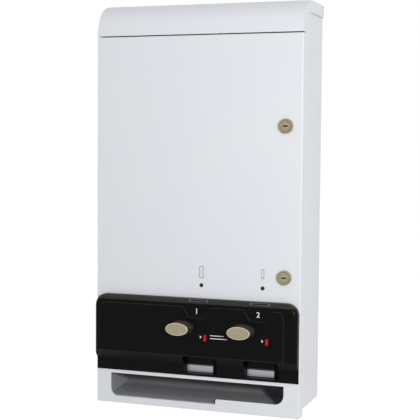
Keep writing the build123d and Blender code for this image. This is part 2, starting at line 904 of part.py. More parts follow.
def button_stem(column, crank_x):
    """Rod behind the button, with the cross bar and the arm that push the drum's crank."""
    x = column + button_offset
    bar = mech_back + bracket_sheet + pusher_bar_gap
    z0 = button_z - pusher_half_height
    z1 = button_z + pusher_half_height
    shape = rod_y(x, button_z, stem_radius, front + button_tail - stem_socket, bar + pusher_thickness / 2)
    shape += block(x - stem_radius, crank_x + pusher_half_width, bar, bar + pusher_thickness, z0, z1)
    shape += block(crank_x - pusher_half_width, crank_x + pusher_half_width, bar, pusher_face, z0, z1)
    return shape + block(crank_x - pusher_half_width, crank_x + pusher_half_width,
                         pusher_face - pusher_thickness, pusher_face, z0, pusher_top)


def wire_arcs(start, start_way, end, end_way):
    """Two arcs that join two places smoothly in given directions."""
    across = end - start
    ways = start_way + end_way
    bend = 2 * (1 - start_way.dot(end_way))
    along = across.dot(ways)
    reach = (math.sqrt(along * along + bend * across.dot(across)) - along) / bend
    first = start + start_way * reach
    last = end - end_way * reach
    joint = (first + last) / 2
    return [TangentArc(start, joint, tangent=start_way), TangentArc(joint, end, tangent=last - first)]


def button_spring(column):
    """Return spring round the stem, between the button and the guide bush."""
    x = column + button_offset
    start = front + button_tail + spring_wire_radius + stem_gap
    length = mech_back - bush_length - spring_wire_radius - stem_gap - start
    places = []
    ways = []
    quarters = 4 * spring_turns
    rise = length / quarters
    slope = math.atan2(rise, spring_radius * math.pi / 2)
    for quarter in range(quarters + 1):
        turn = math.pi / 2 * quarter
        places.append(Vector(x + spring_radius * math.cos(turn), start + rise * quarter,
                             button_z + spring_radius * math.sin(turn)))
        ways.append(Vector(-math.cos(slope) * math.sin(turn), math.sin(slope),
                           math.cos(slope) * math.cos(turn)))
    path = Curve()
    for quarter in range(quarters):
        path += wire_arcs(places[quarter], ways[quarter], places[quarter + 1], ways[quarter + 1])
    wire = Plane(origin=places[0], z_dir=ways[0]) * Circle(spring_wire_radius)
    return sweep(wire, path=path)


# Mechanism frames
def mech_frame(column):
    """Folded frame behind the window: a flange on the door and two side walls."""
    x0 = column - mech_left
    x1 = column + mech_right
    z0 = at(mech_bottom_height)
    z1 = at(mech_top_height)
    shape = block(x0, x1, door_back, door_back + bracket_sheet, z0, z1)
    w0, w1 = window_edges(column)
    shape -= block(w0, w1, front - cut_overrun, door_back + bracket_sheet + cut_overrun, z0 + window_margin,
                   z1 - window_margin)
    shape += block(x0, x0 + bracket_sheet, door_back, mech_back, z0, z1)
    shape += block(x1 - bracket_sheet, x1, door_back, mech_back, z0, z1)
    for x, z in mech_screw_places():
        shape -= rod_y(x, z, mech_screw_radius, front - cut_overrun, door_back + bracket_sheet + cut_overrun)
    return shape


def mech_cover(column):
    """Rear plate of the mechanism, with the bush that guides the stem."""
    x = column + button_offset
    shape = block(column - mech_left, column + mech_right, mech_back, mech_back + bracket_sheet,
                  at(mech_bottom_height), at(mech_top_height))
    shape += rod_y(x, button_z, bush_radius, mech_back - bush_length, mech_back)
    return shape - rod_y(x, button_z, stem_radius + stem_gap, mech_back - bush_length - cut_overrun,
                         mech_back + bracket_sheet + cut_overrun)


def door_bracket_screws():
    """Screws that hold the mechanism frames and the coin box bracket to the door."""
    screws = []
    seat = door_back + bracket_sheet
    for x, z in mech_screw_places():
        screw = rod_y(x, z, mech_screw_radius, front - mech_screw_tip, seat)
        screws.append(screw + rod_y(x, z, mech_screw_head_radius, seat, seat + mech_screw_head))
    return group(screws)


def chute_line():
    """Middle line of the coin chute, as (y, z)."""
    turn = front + chute_turn_depth
    return [(front - chute_mouth_reach, at(chute_mouth_height)), (turn, at(chute_turn_height)),
            (turn, at(chute_outlet_height))]


def coin_chute(column):
    """Flat tube that leads a coin from its slot down to the return cup."""
    line = chute_line()
    outer = band(line, chute_depth / 2) + band(line[::-1], chute_depth / 2)
    bore = chute_depth / 2 - chute_wall
    inner = band(line, bore) + band(line[::-1], bore)
    shape = slab_x(outer, column - chute_width / 2, column + chute_width / 2)
    shape -= slab_x(inner, column - chute_width / 2 + chute_wall, column + chute_width / 2 - chute_wall)
    return shape + block(column - chute_rib_width / 2, column + chute_rib_width / 2,
                         front + chute_turn_depth + chute_depth / 2 - chute_wall / 2, mech_back,
                         at(chute_rib_low), at(chute_rib_high))


def return_lever(column):
    """Red thumb piece of the coin return lever, with its foot in the slide."""
    x = lever_x(column)
    z = at(lever_height)
    foot = panel_face + panel_wall + fit_gap + lever_plate / 2
    thumb = block(x - lever_width / 2, x + lever_width / 2, field_face - lever_proud, foot,
                  z - lever_tall / 2, z + lever_tall / 2)
    return fillet(thumb.faces().sort_by(Axis.Y)[0].edges(), lever_edge)


def lever_slide(column):
    """Slide that hides the lever's slot, with the finger that reaches for the coin chute."""
    x = lever_x(column)
    z = at(lever_height)
    plate_front = panel_face + panel_wall + fit_gap
    shape = block(x - lever_plate_half, x + lever_plate_half, plate_front, plate_front + lever_plate,
                  z - lever_plate_tall / 2, z + lever_plate_tall / 2)
    shape += block(x - lever_finger / 2, x + lever_finger / 2, plate_front + lever_plate / 2,
                   chute_front() - lever_finger_gap, z - lever_finger / 2, z + lever_finger / 2)
    return shape - block(x - lever_width / 2, x + lever_width / 2, plate_front - cut_overrun,
                         plate_front + lever_plate / 2, z - lever_tall / 2, z + lever_tall / 2)


def chute_front():
    """Front face of the chute's upright stretch."""
    return front + chute_turn_depth - chute_depth / 2


# Coin return cups
def cup_hollow(column):
    """The space inside the cup: a mouth that narrows to the throat behind the flap."""
    throat = front + cup_throat_depth
    end = front + cup_depth - cup_wall
    mouth_plan = outline([(column - cup_half_width, panel_face - cut_overrun),
                          (column + cup_half_width, panel_face - cut_overrun),
                          (column + cup_half_width, front), (column + cup_back_right, throat),
                          (column - cup_back_left, throat), (column - cup_half_width, front)])
    throat_plan = rectangle(column - cup_back_left, column + cup_back_right, throat - fit_gap, end)
    hollow = slab_z(mouth_plan, at(cup_floor_height), at(cup_top_height))
    return hollow + slab_z(throat_plan, at(cup_floor_height), at(cup_throat_height))


def return_cup(column):
    """Black cup behind the panel, open to the front, and open above where coins come in."""
    x0 = column - cup_half_width - cup_wall
    x1 = column + cup_half_width + cup_wall - cup_wall / 2
    z0 = at(cup_floor_height) - cup_wall
    z1 = at(cup_top_height) + cup_wall
    front_part = block(x0, x1, panel_face, front + cut_overrun, z0, z1) & panel_envelope(panel_wall)
    roof = at(cup_throat_height) + cup_wall
    shape = block(x0, x1, front, front + cup_throat_depth + cup_wall, z0, z1) + front_part
    shape += block(x0, x1, front, front + cup_depth, z0, roof)
    shape -= cup_hollow(column)
    inlet = chute_width / 2 - chute_wall
    shape -= block(column - inlet, column + inlet, chute_front() + chute_wall,
                   chute_front() + chute_depth - chute_wall, at(cup_throat_height) - cut_overrun,
                   roof + cut_overrun)
    shape -= rod_x(front + flap_pin_depth, at(flap_pin_height), flap_pin_radius,
                   column - cup_back_left - flap_pin_seat, column + cup_back_right + flap_pin_seat)
    return shape


def flap_pin(column):
    """Pin that the flap hangs from."""
    return rod_x(front + flap_pin_depth, at(flap_pin_height), flap_pin_radius,
                 column - cup_back_left - flap_pin_seat, column + cup_back_right + flap_pin_seat)


def return_flap(column):
    """Steel flap that swings in when a finger reaches for a coin."""
    x0 = column - cup_back_left + flap_side_gap
    x1 = column + cup_back_right - flap_side_gap
    y = front + flap_pin_depth
    z = at(flap_pin_height)
    shape = rod_x(y, z, flap_barrel_radius, x0, x1)
    shape += block(x0, x1, y + flap_barrel_radius - flap_thickness, y + flap_barrel_radius,
                   at(cup_floor_height) + flap_floor_gap, z)
    return shape - rod_x(y, z, flap_pin_radius + flap_pin_gap, x0 - cut_overrun, x1 + cut_overrun)


# Coin box
def coin_box():
    """Open steel box that lifts out of its bracket, with a grip lip at the back."""
    x0 = coin_box_left
    x1 = x0 + coin_box_width
    y0 = front + coin_box_front
    y1 = y0 + coin_box_depth
    z0 = at(coin_box_bottom_height)
    z1 = z0 + coin_box_height
    shape = block(x0, x1, y0, y1, z0, z1)
    shape -= block(x0 + coin_box_sheet, x1 - coin_box_sheet, y0 + coin_box_sheet, y1 - coin_box_sheet,
                   z0 + coin_box_sheet, z1 + cut_overrun)
    return shape + block(x0, x1, y1 - coin_box_sheet, y1 + coin_box_lip, z1 - coin_box_sheet, z1)


def coin_box_bracket():
    """Shelf with low lips that carries the coin box on the door."""
    x0 = coin_box_left - coin_box_gap - bracket_sheet
    x1 = coin_box_left + coin_box_width + coin_box_gap + bracket_sheet
    y0 = door_back
    y1 = front + coin_box_front + coin_box_depth + coin_box_gap + bracket_sheet
    z0 = at(coin_box_bottom_height) - bracket_sheet
    lip = z0 + bracket_sheet + coin_bracket_lip
    shape = block(x0, x1, y0, y1, z0, lip)
    shape -= block(x0 + bracket_sheet, x1 - bracket_sheet, y0 + bracket_sheet, y1 - bracket_sheet,
                   z0 + bracket_sheet, lip + cut_overrun)
    shape += block(x0, x1, y0, y0 + bracket_sheet, z0, z0 + coin_bracket_back_height)
    for x, z in mech_screw_places():
        shape -= rod_y(x, z, mech_screw_radius, front - cut_overrun, y0 + bracket_sheet + cut_overrun)
    return shape


# Cam locks
def lock_barrel(height):
    """Body of the lock, with a two-step head on the front of the door."""
    z = at(height)
    head_face = front - lock_head
    ring_face = head_face - lock_ring_step
    middle = front - lock_head / 2
    head = rod_y(lock_x, z, lock_head_radius, head_face, front)
    head = chamfer(head.faces().sort_by(Axis.Y)[0].edges(), lock_head_edge)
    shape = head + rod_y(lock_x, z, lock_ring_radius, ring_face, middle)
    shape += rod_y(lock_x, z, lock_body_radius, middle, cam_front - lock_cam_gap)
    return shape - rod_y(lock_x, z, lock_plug_radius + lock_plug_gap, ring_face - cut_overrun,
                         cam_front + cut_overrun)


def lock_plug(height):
    """Turning plug with the key slot, and the tail that carries the cam."""
    z = at(height)
    face = front - lock_head - lock_ring_step - lock_plug_dome
    cam_back = cam_front + lock_cam_sheet
    end = cam_back + lock_rivet_head
    shape = rod_y(lock_x, z, lock_plug_radius, face, cam_front)
    shape = chamfer(shape.faces().sort_by(Axis.Y)[0].edges(), lock_plug_dome)
    shape += rod_y(lock_x, z, lock_tail_radius, cam_front - lock_cam_gap, end)
    shape += rod_y(lock_x, z, lock_rivet_radius, cam_back, end)
    return shape - block(lock_x - key_slot_length / 2, lock_x + key_slot_length / 2, face - cut_overrun,
                         face + key_slot_depth, z - key_slot_width / 2, z + key_slot_width / 2)


def lock_cam(height):
    """Cam blade; it hangs down when the door is unlocked."""
    z = at(height)
    y1 = cam_front + lock_cam_sheet
    shape = rod_y(lock_x, z, lock_cam_width / 2, cam_front, y1)
    shape += block(lock_x - lock_cam_width / 2, lock_x + lock_cam_width / 2, cam_front, y1,
                   z - lock_cam_reach + lock_cam_width / 2, z)
    shape += rod_y(lock_x, z - lock_cam_reach + lock_cam_width / 2, lock_cam_width / 2, cam_front, y1)
    return shape - rod_y(lock_x, z, lock_tail_radius, cam_front - cut_overrun, y1 + cut_overrun)


def lock_nuts():
    """Ring nuts that clamp the locks to the door."""
    nuts = []
    for height in (lock_upper_height, lock_lower_height):
        hexagon = Pos(lock_x, at(height)) * RegularPolygon(lock_nut_radius, 6)
        end = door_back + lock_nut_height
        nut = slab_y(hexagon, door_back, end)
        nuts.append(nut - rod_y(lock_x, at(height), lock_body_radius, front, end + cut_overrun))
    return group(nuts)


def lock_keepers():
    """Plates behind the cabinet's right flange that the cams turn behind."""
    x0 = shell_half - shell_flange_width
    return group([block(x0, x0 + lock_keeper_width, flange_back, keeper_back,
                        at(height) - lock_keeper_tall / 2, at(height) + lock_keeper_tall / 2)
                  for height in (lock_upper_height, lock_lower_height)])


# Magazines and their rails
def rail_screw_places():
    """Screws that hold the magazines to the rails, as (x, z)."""
    return [(x, at(height)) for name, x0, x1, column in magazines
            for x in (x0 + rail_screw_inset, x1 - rail_screw_inset)
            for height in (rail_low_height, rail_high_height)]


def magazine_rail(height):
    """Top-hat rail across the back of the cabinet."""
    y = back - shell_sheet
    crown = magazine_back + rail_sheet
    half = rail_height / 2
    web = rail_crown / 2
    z = at(height)
    profile = band([(y, z - half), (y, z - web), (crown, z - web), (crown, z + web), (y, z + web),
                    (y, z + half)], rail_sheet)
    shape = slab_x(profile, -rail_half_length, rail_half_length)
    for x, screw_z in rail_screw_places():
        shape -= rod_y(x, screw_z, rail_screw_radius, magazine_back - cut_overrun, crown + cut_overrun)
    return shape


def flag_x(column):
    """Middle of the sold-out flag's arm."""
    return column + flag_offset


def magazine(x0, x1, column):
    """Sheet trough for one stack: back, sides, front lips and the strap that carries the flag."""
    outer0 = x0 - magazine_sheet
    outer1 = x1 + magazine_sheet
    z0 = at(magazine_bottom_height)
    z1 = at(magazine_top_height)
    shape = block(outer0, outer1, magazine_inner_back, magazine_back, z0, z1)
    shape += block(outer0, x0, magazine_front, magazine_back, z0, z1)
    shape += block(x1, outer1, magazine_front, magazine_back, z0, z1)
    for lip0, lip1 in ((outer0, x0 + magazine_lip), (x1 - magazine_lip, outer1)):
        shape += block(lip0, lip1, magazine_front, magazine_inner_front, at(magazine_lip_height), z1)
    x = flag_x(column)
    shape -= block(x - flag_window_half, x + flag_window_half, magazine_front - cut_overrun,
                   magazine_inner_front + cut_overrun, at(magazine_strap_high), at(magazine_window_high))
    lug0 = x - flag_lug_half - magazine_sheet
    lug1 = x + flag_lug_half + magazine_sheet
    shape += block(min(outer0, lug0), max(outer1, lug1), magazine_front, magazine_inner_front,
                   at(magazine_strap_low), at(magazine_strap_high))
    for lug in (lug0, lug1 - magazine_sheet):
        shape += block(lug, lug + magazine_sheet, magazine_front - flag_lug_reach, magazine_inner_front,
                       at(magazine_strap_low), at(magazine_strap_high))
    shape -= rod_x(flag_y, flag_z, flag_pivot_radius, lug0 - cut_overrun, lug1 + cut_overrun)
    middle = (magazine_inner_back + magazine_inner_front) / 2
    for stop0, stop1 in ((x0, x0 + magazine_stop), (x1 - magazine_stop, x1)):
        shape += block(stop0, stop1, middle - magazine_stop_length / 2, middle + magazine_stop_length / 2,
                       at(magazine_lip_height) - magazine_stop_thickness, at(magazine_lip_height))
    shape -= rod_x(drum_y, drum_z, pivot_radius, outer0 - cut_overrun, x0 + cut_overrun)
    shape -= rod_x(drum_y, drum_z, pivot_radius, x1 - cut_overrun, outer1 + cut_overrun)
    for x, z in wall_screw_places():
        if x0 < x < x1:
            shape -= rod_y(x, z, magazine_access_radius, magazine_inner_back - cut_overrun, back)
    for x, z in rail_screw_places():
        if x0 < x < x1:
            shape -= rod_y(x, z, rail_screw_radius, magazine_inner_back - cut_overrun, back)
    return shape


def magazine_screws():
    """Flat-headed screws from inside the magazines into the rails."""
    screws = []
    for x, z in rail_screw_places():
        screw = rod_y(x, z, rail_screw_radius, magazine_inner_back, magazine_back + rail_sheet)
        head = rod_y(x, z, rail_screw_head_radius, magazine_inner_back - rail_screw_head, magazine_inner_back)
        screws.append(screw + head)
    return group(screws)


# Dispensing drums
def trough_face():
    """Cross-section of the drum's trough, open at the top."""
    ring = Circle(drum_radius) - Circle(drum_radius - drum_wall)
    lip = math.radians(drum_trough_degrees / 2 - 90)
    reach = 2 * drum_radius
    above = outline([(0, 0), (reach * math.cos(lip), reach * math.sin(lip)), (reach, reach), (-reach, reach),
                     (-reach * math.cos(lip), reach * math.sin(lip))])
    return Pos(drum_y, drum_z) * (ring - above)


def drum(x0, x1):
    """Trough that takes one product and tips it out, with a crank on its right end."""
    start = x0 + drum_end_gap
    end = x1 - drum_end_gap
    crank0 = x1 - crank_offset - crank_thickness / 2
    disc = crank0 - crank_disc_gap
    shape = rod_x(drum_y, drum_z, drum_radius, start, start + drum_end_wall)
    shape += slab_x(trough_face(), start + drum_end_wall, disc - drum_end_wall)
    shape += rod_x(drum_y, drum_z, drum_radius, disc - drum_end_wall, disc)
    shape += rod_x(drum_y, drum_z, drum_hub_radius, disc - drum_end_wall / 2, end)
    tip_y = -crank_radius * math.sin(crank_rest)
    tip_z = -crank_radius * math.cos(crank_rest)
    across_y = crank_tip_radius * math.cos(crank_rest)
    across_z = crank_tip_radius * math.sin(crank_rest)
    arm = outline([(-across_y, across_z), (tip_y - across_y, tip_z + across_z),
                   (tip_y + across_y, tip_z - across_z), (across_y, -across_z)])
    shape += slab_x(Pos(drum_y, drum_z) * arm, crank0, crank0 + crank_thickness)
    shape += rod_x(drum_y + tip_y, drum_z + tip_z, crank_tip_radius, crank0, crank0 + crank_thickness)
    bore = pivot_radius + pivot_gap
    shape -= rod_x(drum_y, drum_z, bore, start - cut_overrun, start + drum_end_wall + cut_overrun)
    return shape - rod_x(drum_y, drum_z, bore, end - drum_end_wall, end + cut_overrun)


def drum_pivot_screws():
    """Shoulder screws through the magazines' sides that the drums turn on."""
    reach = magazine_sheet + drum_end_gap + drum_end_wall - pivot_gap
    screws = []
    for name, x0, x1, column in magazines:
        outer0 = x0 - magazine_sheet
        outer1 = x1 + magazine_sheet
        screws.append(rod_x(drum_y, drum_z, pivot_radius, outer0, outer0 + reach)
                      + rod_x(drum_y, drum_z, pivot_head_radius, outer0 - pivot_head, outer0))
        screws.append(rod_x(drum_y, drum_z, pivot_radius, outer1 - reach, outer1)
                      + rod_x(drum_y, drum_z, pivot_head_radius, outer1, outer1 + pivot_head))
    return group(screws)


# Follower weights
def follower_weight(x0, x1, column):
    """Weight that presses on the stack, with a grip to lift it by."""
    a0 = x0 + follower_side_gap
    a1 = x1 - follower_side_gap
    y0 = magazine_inner_front + follower_front_gap
    y1 = magazine_inner_back - follower_back_gap
    z0 = at(magazine_lip_height) + follower_rest_gap
    shape = block(a0, a1, y0, y1, z0, z0 + follower_height)
    x = flag_x(column)
    shape -= block(x - follower_notch_width / 2, x + follower_notch_width / 2, y0 - cut_overrun,
                   y0 + follower_notch_depth, z0 - cut_overrun, z0 + follower_height + cut_overrun)
    middle = (a0 + a1) / 2
    grip_y = (y0 + y1) / 2
    return shape + block(middle - follower_grip_width / 2, middle + follower_grip_width / 2,
                         grip_y - follower_grip / 2, grip_y + follower_grip / 2, z0 + follower_height,
                         z0 + follower_height + follower_grip_height)


# Sold-out flags
def sold_out_flag(column):
    """Pivoted flag: a feeler in the stack, and a red plate behind the indicator hole."""
    x = flag_x(column)
    x0 = x - flag_width / 2
    x1 = x + flag_width / 2
    plate_y = door_back + flag_door_gap
    z = at(indicator_height)
    hub = flag_lug_half - flag_hub_gap
    arm = outline([(flag_y, flag_z + flag_arm_tall / 2), (flag_y, flag_z - flag_arm_tall / 2),
                   (plate_y, z - flag_arm_tall / 2), (plate_y, z + flag_arm_tall / 2)])
    nose_y = flag_y + flag_nose_back
    nose_z = flag_z + flag_nose_rise
    run = math.hypot(flag_nose_back, flag_nose_rise)
    across_y = flag_nose_radius * flag_nose_rise / run
    across_z = flag_nose_radius * flag_nose_back / run
    feeler = outline([(flag_y - across_y, flag_z + across_z), (flag_y + across_y, flag_z - across_z),
                      (nose_y + across_y, nose_z - across_z), (nose_y - across_y, nose_z + across_z)])
    shape = slab_x(arm, x0, x1) + slab_x(feeler, x0, x1) + rod_x(nose_y, nose_z, flag_nose_radius, x0, x1)
    shape += rod_x(flag_y, flag_z, flag_hub_radius, x - hub, x + hub)
    shape += block(x0, column + flag_plate_half, plate_y, plate_y + flag_plate_thickness,
                   z - flag_plate_half, z + flag_plate_half)
    return shape - rod_x(flag_y, flag_z, flag_pivot_radius + flag_pivot_gap, x - hub - cut_overrun,
                         x + hub + cut_overrun)


def flag_pins():
    """Headed pins that the flags turn on."""
    pins = []
    for column in columns:
        x = flag_x(column)
        end = flag_lug_half + magazine_sheet
        pin = rod_x(flag_y, flag_z, flag_pivot_radius, x - end, x + end)
        for head in (x - end - flag_pin_head, x + end):
            pin += rod_x(flag_y, flag_z, flag_pivot_radius + flag_pin_head, head, head + flag_pin_head)
        pins.append(pin)
    return group(pins)


# Tray and drop chute
def tray_screw_places():
    """Screws through the tray's feet, as (x, y)."""
    x = tray_half_width + tray_wall + tray_foot_width / 2
    inset = tray_screw_head_radius + tray_wall
    return [(side * x, front + depth) for side in (-1, 1)
            for depth in (tray_foot_front + inset, tray_foot_back - inset)]


def drop_screw_places():
    """Screws through the drop chute's flange, as (x, z)."""
    x = drop_half_width - drop_flange
    return [(side * x, at(drop_top_height) + drop_flange / 2) for side in (-1, 1)]


def tray_face():
    """Cross-section of the tray: a shallow slope, then a curve that steepens to the back."""
    lip = (door_back + tray_front_gap, at(tray_lip_height))
    floor = (front + tray_floor_depth, at(tray_floor_height))
    end = (front + tray_back_depth, at(tray_top_height))
    slope = math.atan2(floor[1] - lip[1], floor[0] - lip[0])
    end_slope = 2 * math.atan2(end[1] - floor[1], end[0] - floor[0]) - slope
    down = (tray_wall * math.sin(slope), -tray_wall * math.cos(slope))
    tangent = (math.cos(slope), math.sin(slope))
    under_lip = (lip[0] + down[0], lip[1] + down[1])
    under_floor = (floor[0] + down[0], floor[1] + down[1])
    under_end = (end[0] + tray_wall * math.sin(end_slope), end[1] - tray_wall * math.cos(end_slope))
    lines = [Line(lip, floor), TangentArc(floor, end, tangent=tangent), Line(end, under_end),
             TangentArc(under_floor, under_end, tangent=tangent), Line(under_floor, under_lip),
             Line(under_lip, lip)]
    return make_face(Curve() + lines)


def delivery_tray():
    """Curved tray behind the opening, with end walls and feet on the cabinet's floor."""
    outside = tray_half_width + tray_wall
    floor = shell_base + shell_sheet
    shape = slab_x(tray_face(), -outside, outside)
    for side in (-1, 1):
        wall = sorted((side * tray_half_width, side * outside))
        shape += block(wall[0], wall[1], door_back + tray_front_gap, front + tray_back_depth, floor,
                       at(tray_top_height))
        foot = sorted((side * tray_half_width, side * (outside + tray_foot_width)))
        shape += block(foot[0], foot[1], front + tray_foot_front, front + tray_foot_back, floor,
                       floor + tray_wall)
    for x, y in tray_screw_places():
        shape -= rod_z(x, y, tray_screw_radius, floor - cut_overrun, floor + tray_wall + cut_overrun)
    return shape


def drop_chute():
    """Sloping sheet that brings products from the drums forward to the tray."""
    wall = back - shell_sheet
    low = (front + tray_back_depth, at(tray_top_height) + drop_seat_gap)
    profile = band([low, (wall, at(drop_top_height)), (wall, at(drop_top_height) + drop_flange)], drop_sheet)
    shape = slab_x(profile, -drop_half_width, drop_half_width)
    for x, z in drop_screw_places():
        shape -= rod_y(x, z, tray_screw_radius, wall - drop_sheet - cut_overrun, back + cut_overrun)
    return shape


def tray_and_chute_screws():
    """Screws that hold the tray's feet and the drop chute's flange to the shell."""
    screws = []
    foot = shell_base + shell_sheet + tray_wall
    for x, y in tray_screw_places():
        screws.append(rod_z(x, y, tray_screw_radius, shell_base, foot)
                      + rod_z(x, y, tray_screw_head_radius, foot, foot + tray_screw_head))
    seat = back - shell_sheet - drop_sheet
    for x, z in drop_screw_places():
        screws.append(rod_y(x, z, tray_screw_radius, seat, back)
                      + rod_y(x, z, tray_screw_head_radius, seat - tray_screw_head, seat))
    return group(screws)


def save(shape, name):
    """Write one node."""
    export_step(shape, "parts/" + name + ".step")


def save_cabinet():
    """What stays on the wall."""
    save(hood_cover(), "hood_cover")
    save(hood_nuts(), "hood_nuts")
    save(cabinet_shell(), "cabinet_shell")
    save(hinge_leaf_cabinet(), "hinge_leaf_cabinet")
    save(hinge_pin(), "hinge_pin")
    save(hinge_rivets(), "hinge_rivets")
    save(lock_keepers(), "lock_keepers")
    save(magazine_rail(rail_low_height), "magazine_rail_lower")
    save(magazine_rail(rail_high_height), "magazine_rail_upper")
    save(magazine_screws(), "magazine_screws")
    save(drum_pivot_screws(), "drum_pivot_screws")
    save(flag_pins(), "flag_pins")
    save(delivery_tray(), "delivery_tray")
    save(drop_chute(), "drop_chute")
    save(tray_and_chute_screws(), "tray_and_chute_screws")
    for name, x0, x1, column in magazines:
        save(magazine(x0, x1, column), name + "_magazine")
        save(drum(x0, x1), name + "_drum")
        save(follower_weight(x0, x1, column), name + "_follower_weight")
        save(sold_out_flag(column), name + "_sold_out_flag")


def save_door():
    """What swings with the door."""
    save(door_panel(), "door_panel")
    save(hinge_leaf_door(), "hinge_leaf_door")
    save(control_panel(), "control_panel")
    save(panel_screws(), "panel_screws")
    save(door_bracket_screws(), "mech_screws")
    save(group([flap_pin(column) for column in columns]), "flap_pins")
    save(coin_box(), "coin_box")
    save(coin_box_bracket(), "coin_box_bracket")
    save(lock_nuts(), "lock_nuts")
    for name, height in (("upper", lock_upper_height), ("lower", lock_lower_height)):
        save(lock_barrel(height), "lock_barrel_" + name)
        save(lock_plug(height), "lock_plug_" + name)
        save(lock_cam(height), "lock_cam_" + name)
    for number, column in enumerate(columns, 1):
        crank_x = magazines[number - 1][2] - crank_offset
        mark = "_" + str(number)
        save(coin_slot_plate(column), "coin_slot_plate" + mark)
        save(push_button(column), "push_button" + mark)
        save(button_stem(column, crank_x), "button_stem" + mark)
        save(button_spring(column), "button_spring" + mark)
        save(mech_frame(column), "mech_frame" + mark)
        save(mech_cover(column), "mech_cover" + mark)
        save(coin_chute(column), "coin_chute" + mark)
        save(return_lever(column), "return_lever" + mark)
        save(lever_slide(column), "lever_slide" + mark)
        save(return_cup(column), "return_cup" + mark)
        save(return_flap(column), "return_flap" + mark)


os.makedirs("parts", exist_ok=True)
save_cabinet()
save_door()
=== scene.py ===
# %% [markdown]
# A wall-hung dispenser in looks
#
# The engineered model of the cabinet is already packed: every sheet, screw and button is where it belongs.
# This script only dresses it. It gives each piece the finish of the real one, prints the small marks on the
# door and the panel, swaps plain screw heads and springs for detailed ones, and sets up a product photo.

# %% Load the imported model
import json
import math

import bmesh
import bpy
import numpy as np
from mathutils import Matrix, Vector


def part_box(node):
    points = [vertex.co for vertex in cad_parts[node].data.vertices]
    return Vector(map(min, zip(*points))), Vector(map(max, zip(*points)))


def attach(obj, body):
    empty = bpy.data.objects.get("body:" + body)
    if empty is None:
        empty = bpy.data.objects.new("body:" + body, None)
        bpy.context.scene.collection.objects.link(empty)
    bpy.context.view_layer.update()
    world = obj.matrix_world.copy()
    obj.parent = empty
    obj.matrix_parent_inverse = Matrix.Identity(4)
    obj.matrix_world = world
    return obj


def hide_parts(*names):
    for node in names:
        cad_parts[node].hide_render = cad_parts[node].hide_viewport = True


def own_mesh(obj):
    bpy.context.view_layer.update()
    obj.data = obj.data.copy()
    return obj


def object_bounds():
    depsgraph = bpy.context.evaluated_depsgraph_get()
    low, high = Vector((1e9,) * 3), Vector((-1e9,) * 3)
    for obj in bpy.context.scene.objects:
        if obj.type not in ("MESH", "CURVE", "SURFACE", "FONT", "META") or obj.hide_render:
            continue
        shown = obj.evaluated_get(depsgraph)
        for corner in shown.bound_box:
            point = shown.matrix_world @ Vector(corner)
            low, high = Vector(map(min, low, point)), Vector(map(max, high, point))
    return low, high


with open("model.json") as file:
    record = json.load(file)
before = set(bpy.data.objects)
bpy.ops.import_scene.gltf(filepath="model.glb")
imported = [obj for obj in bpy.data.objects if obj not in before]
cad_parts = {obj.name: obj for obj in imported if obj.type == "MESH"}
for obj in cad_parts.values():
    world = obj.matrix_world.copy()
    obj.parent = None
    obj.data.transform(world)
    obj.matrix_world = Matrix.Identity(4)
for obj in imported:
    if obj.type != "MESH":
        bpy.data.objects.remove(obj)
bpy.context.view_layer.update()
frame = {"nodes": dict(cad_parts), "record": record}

MM = 0.001

# %% [markdown]
# Reading the places
#
# Places are read from the model instead of being typed again, so the marks stay on the surfaces that carry
# them. The door's front face and the panel's raised field are the two planes that take print. The rings round
# the buttons are the foremost plastic: the field lies 1.8 mm behind them, and the plain face 1 mm behind it.

# %% Read the places that the looks need
door_low = Vector(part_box("door_panel")[0])
shell_low, shell_high = (Vector(corner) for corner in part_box("cabinet_shell"))
panel_low, panel_high = (Vector(corner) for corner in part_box("control_panel"))
button_boxes = [[Vector(corner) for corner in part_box("push_button_" + mark)] for mark in "12"]
lever_boxes = [[Vector(corner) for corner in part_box("return_lever_" + mark)] for mark in "12"]
plate_boxes = [[Vector(corner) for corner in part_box("coin_slot_plate_" + mark)] for mark in "12"]
columns = [(low.x + high.x) / 2 for low, high in plate_boxes]
door_front = door_low.y
door_base = door_low.z
ring_stand = 1.8 * MM
field_stand = 1.0 * MM
field_front = panel_low.y + ring_stand
panel_face = field_front + field_stand
print("door front", round(door_front, 4), "columns", [round(x, 4) for x in columns])


# %% [markdown]
# Finishes
#
# A colour picked from a screen is an sRGB value, and the renderer works in linear light, so one
# function turns the hex codes below into what the shaders need. A second small function adds a node, sets its
# values and plugs in its inputs, which keeps each finish down to a few readable lines. The same function
# serves the Geometry Nodes further down. A finish also needs its material, tree and shader at hand while it
# is made, and a small class keeps them together.

# %% Colour and node helpers
def linear(code):
    """sRGB hex code to linear red, green, blue and alpha."""
    values = [int(code[place:place + 2], 16) / 255 for place in (1, 3, 5)]
    return (*[v / 12.92 if v <= 0.04045 else ((v + 0.055) / 1.055) ** 2.4 for v in values], 1.0)


def add(tree, kind, links=None, **settings):
    """Adds a node; links maps an input to a value, to a node or its output, or to a list of nodes."""
    node = tree.nodes.new(kind)
    for name, value in settings.items():
        setattr(node, name, value)
    for name, value in (links or {}).items():
        for source in value if isinstance(value, list) else [value]:
            if isinstance(source, bpy.types.Node):
                source = source.outputs[0]
            if isinstance(source, bpy.types.NodeSocket):
                tree.links.new(source, node.inputs[name])
            else:
                node.inputs[name].default_value = source
    return node


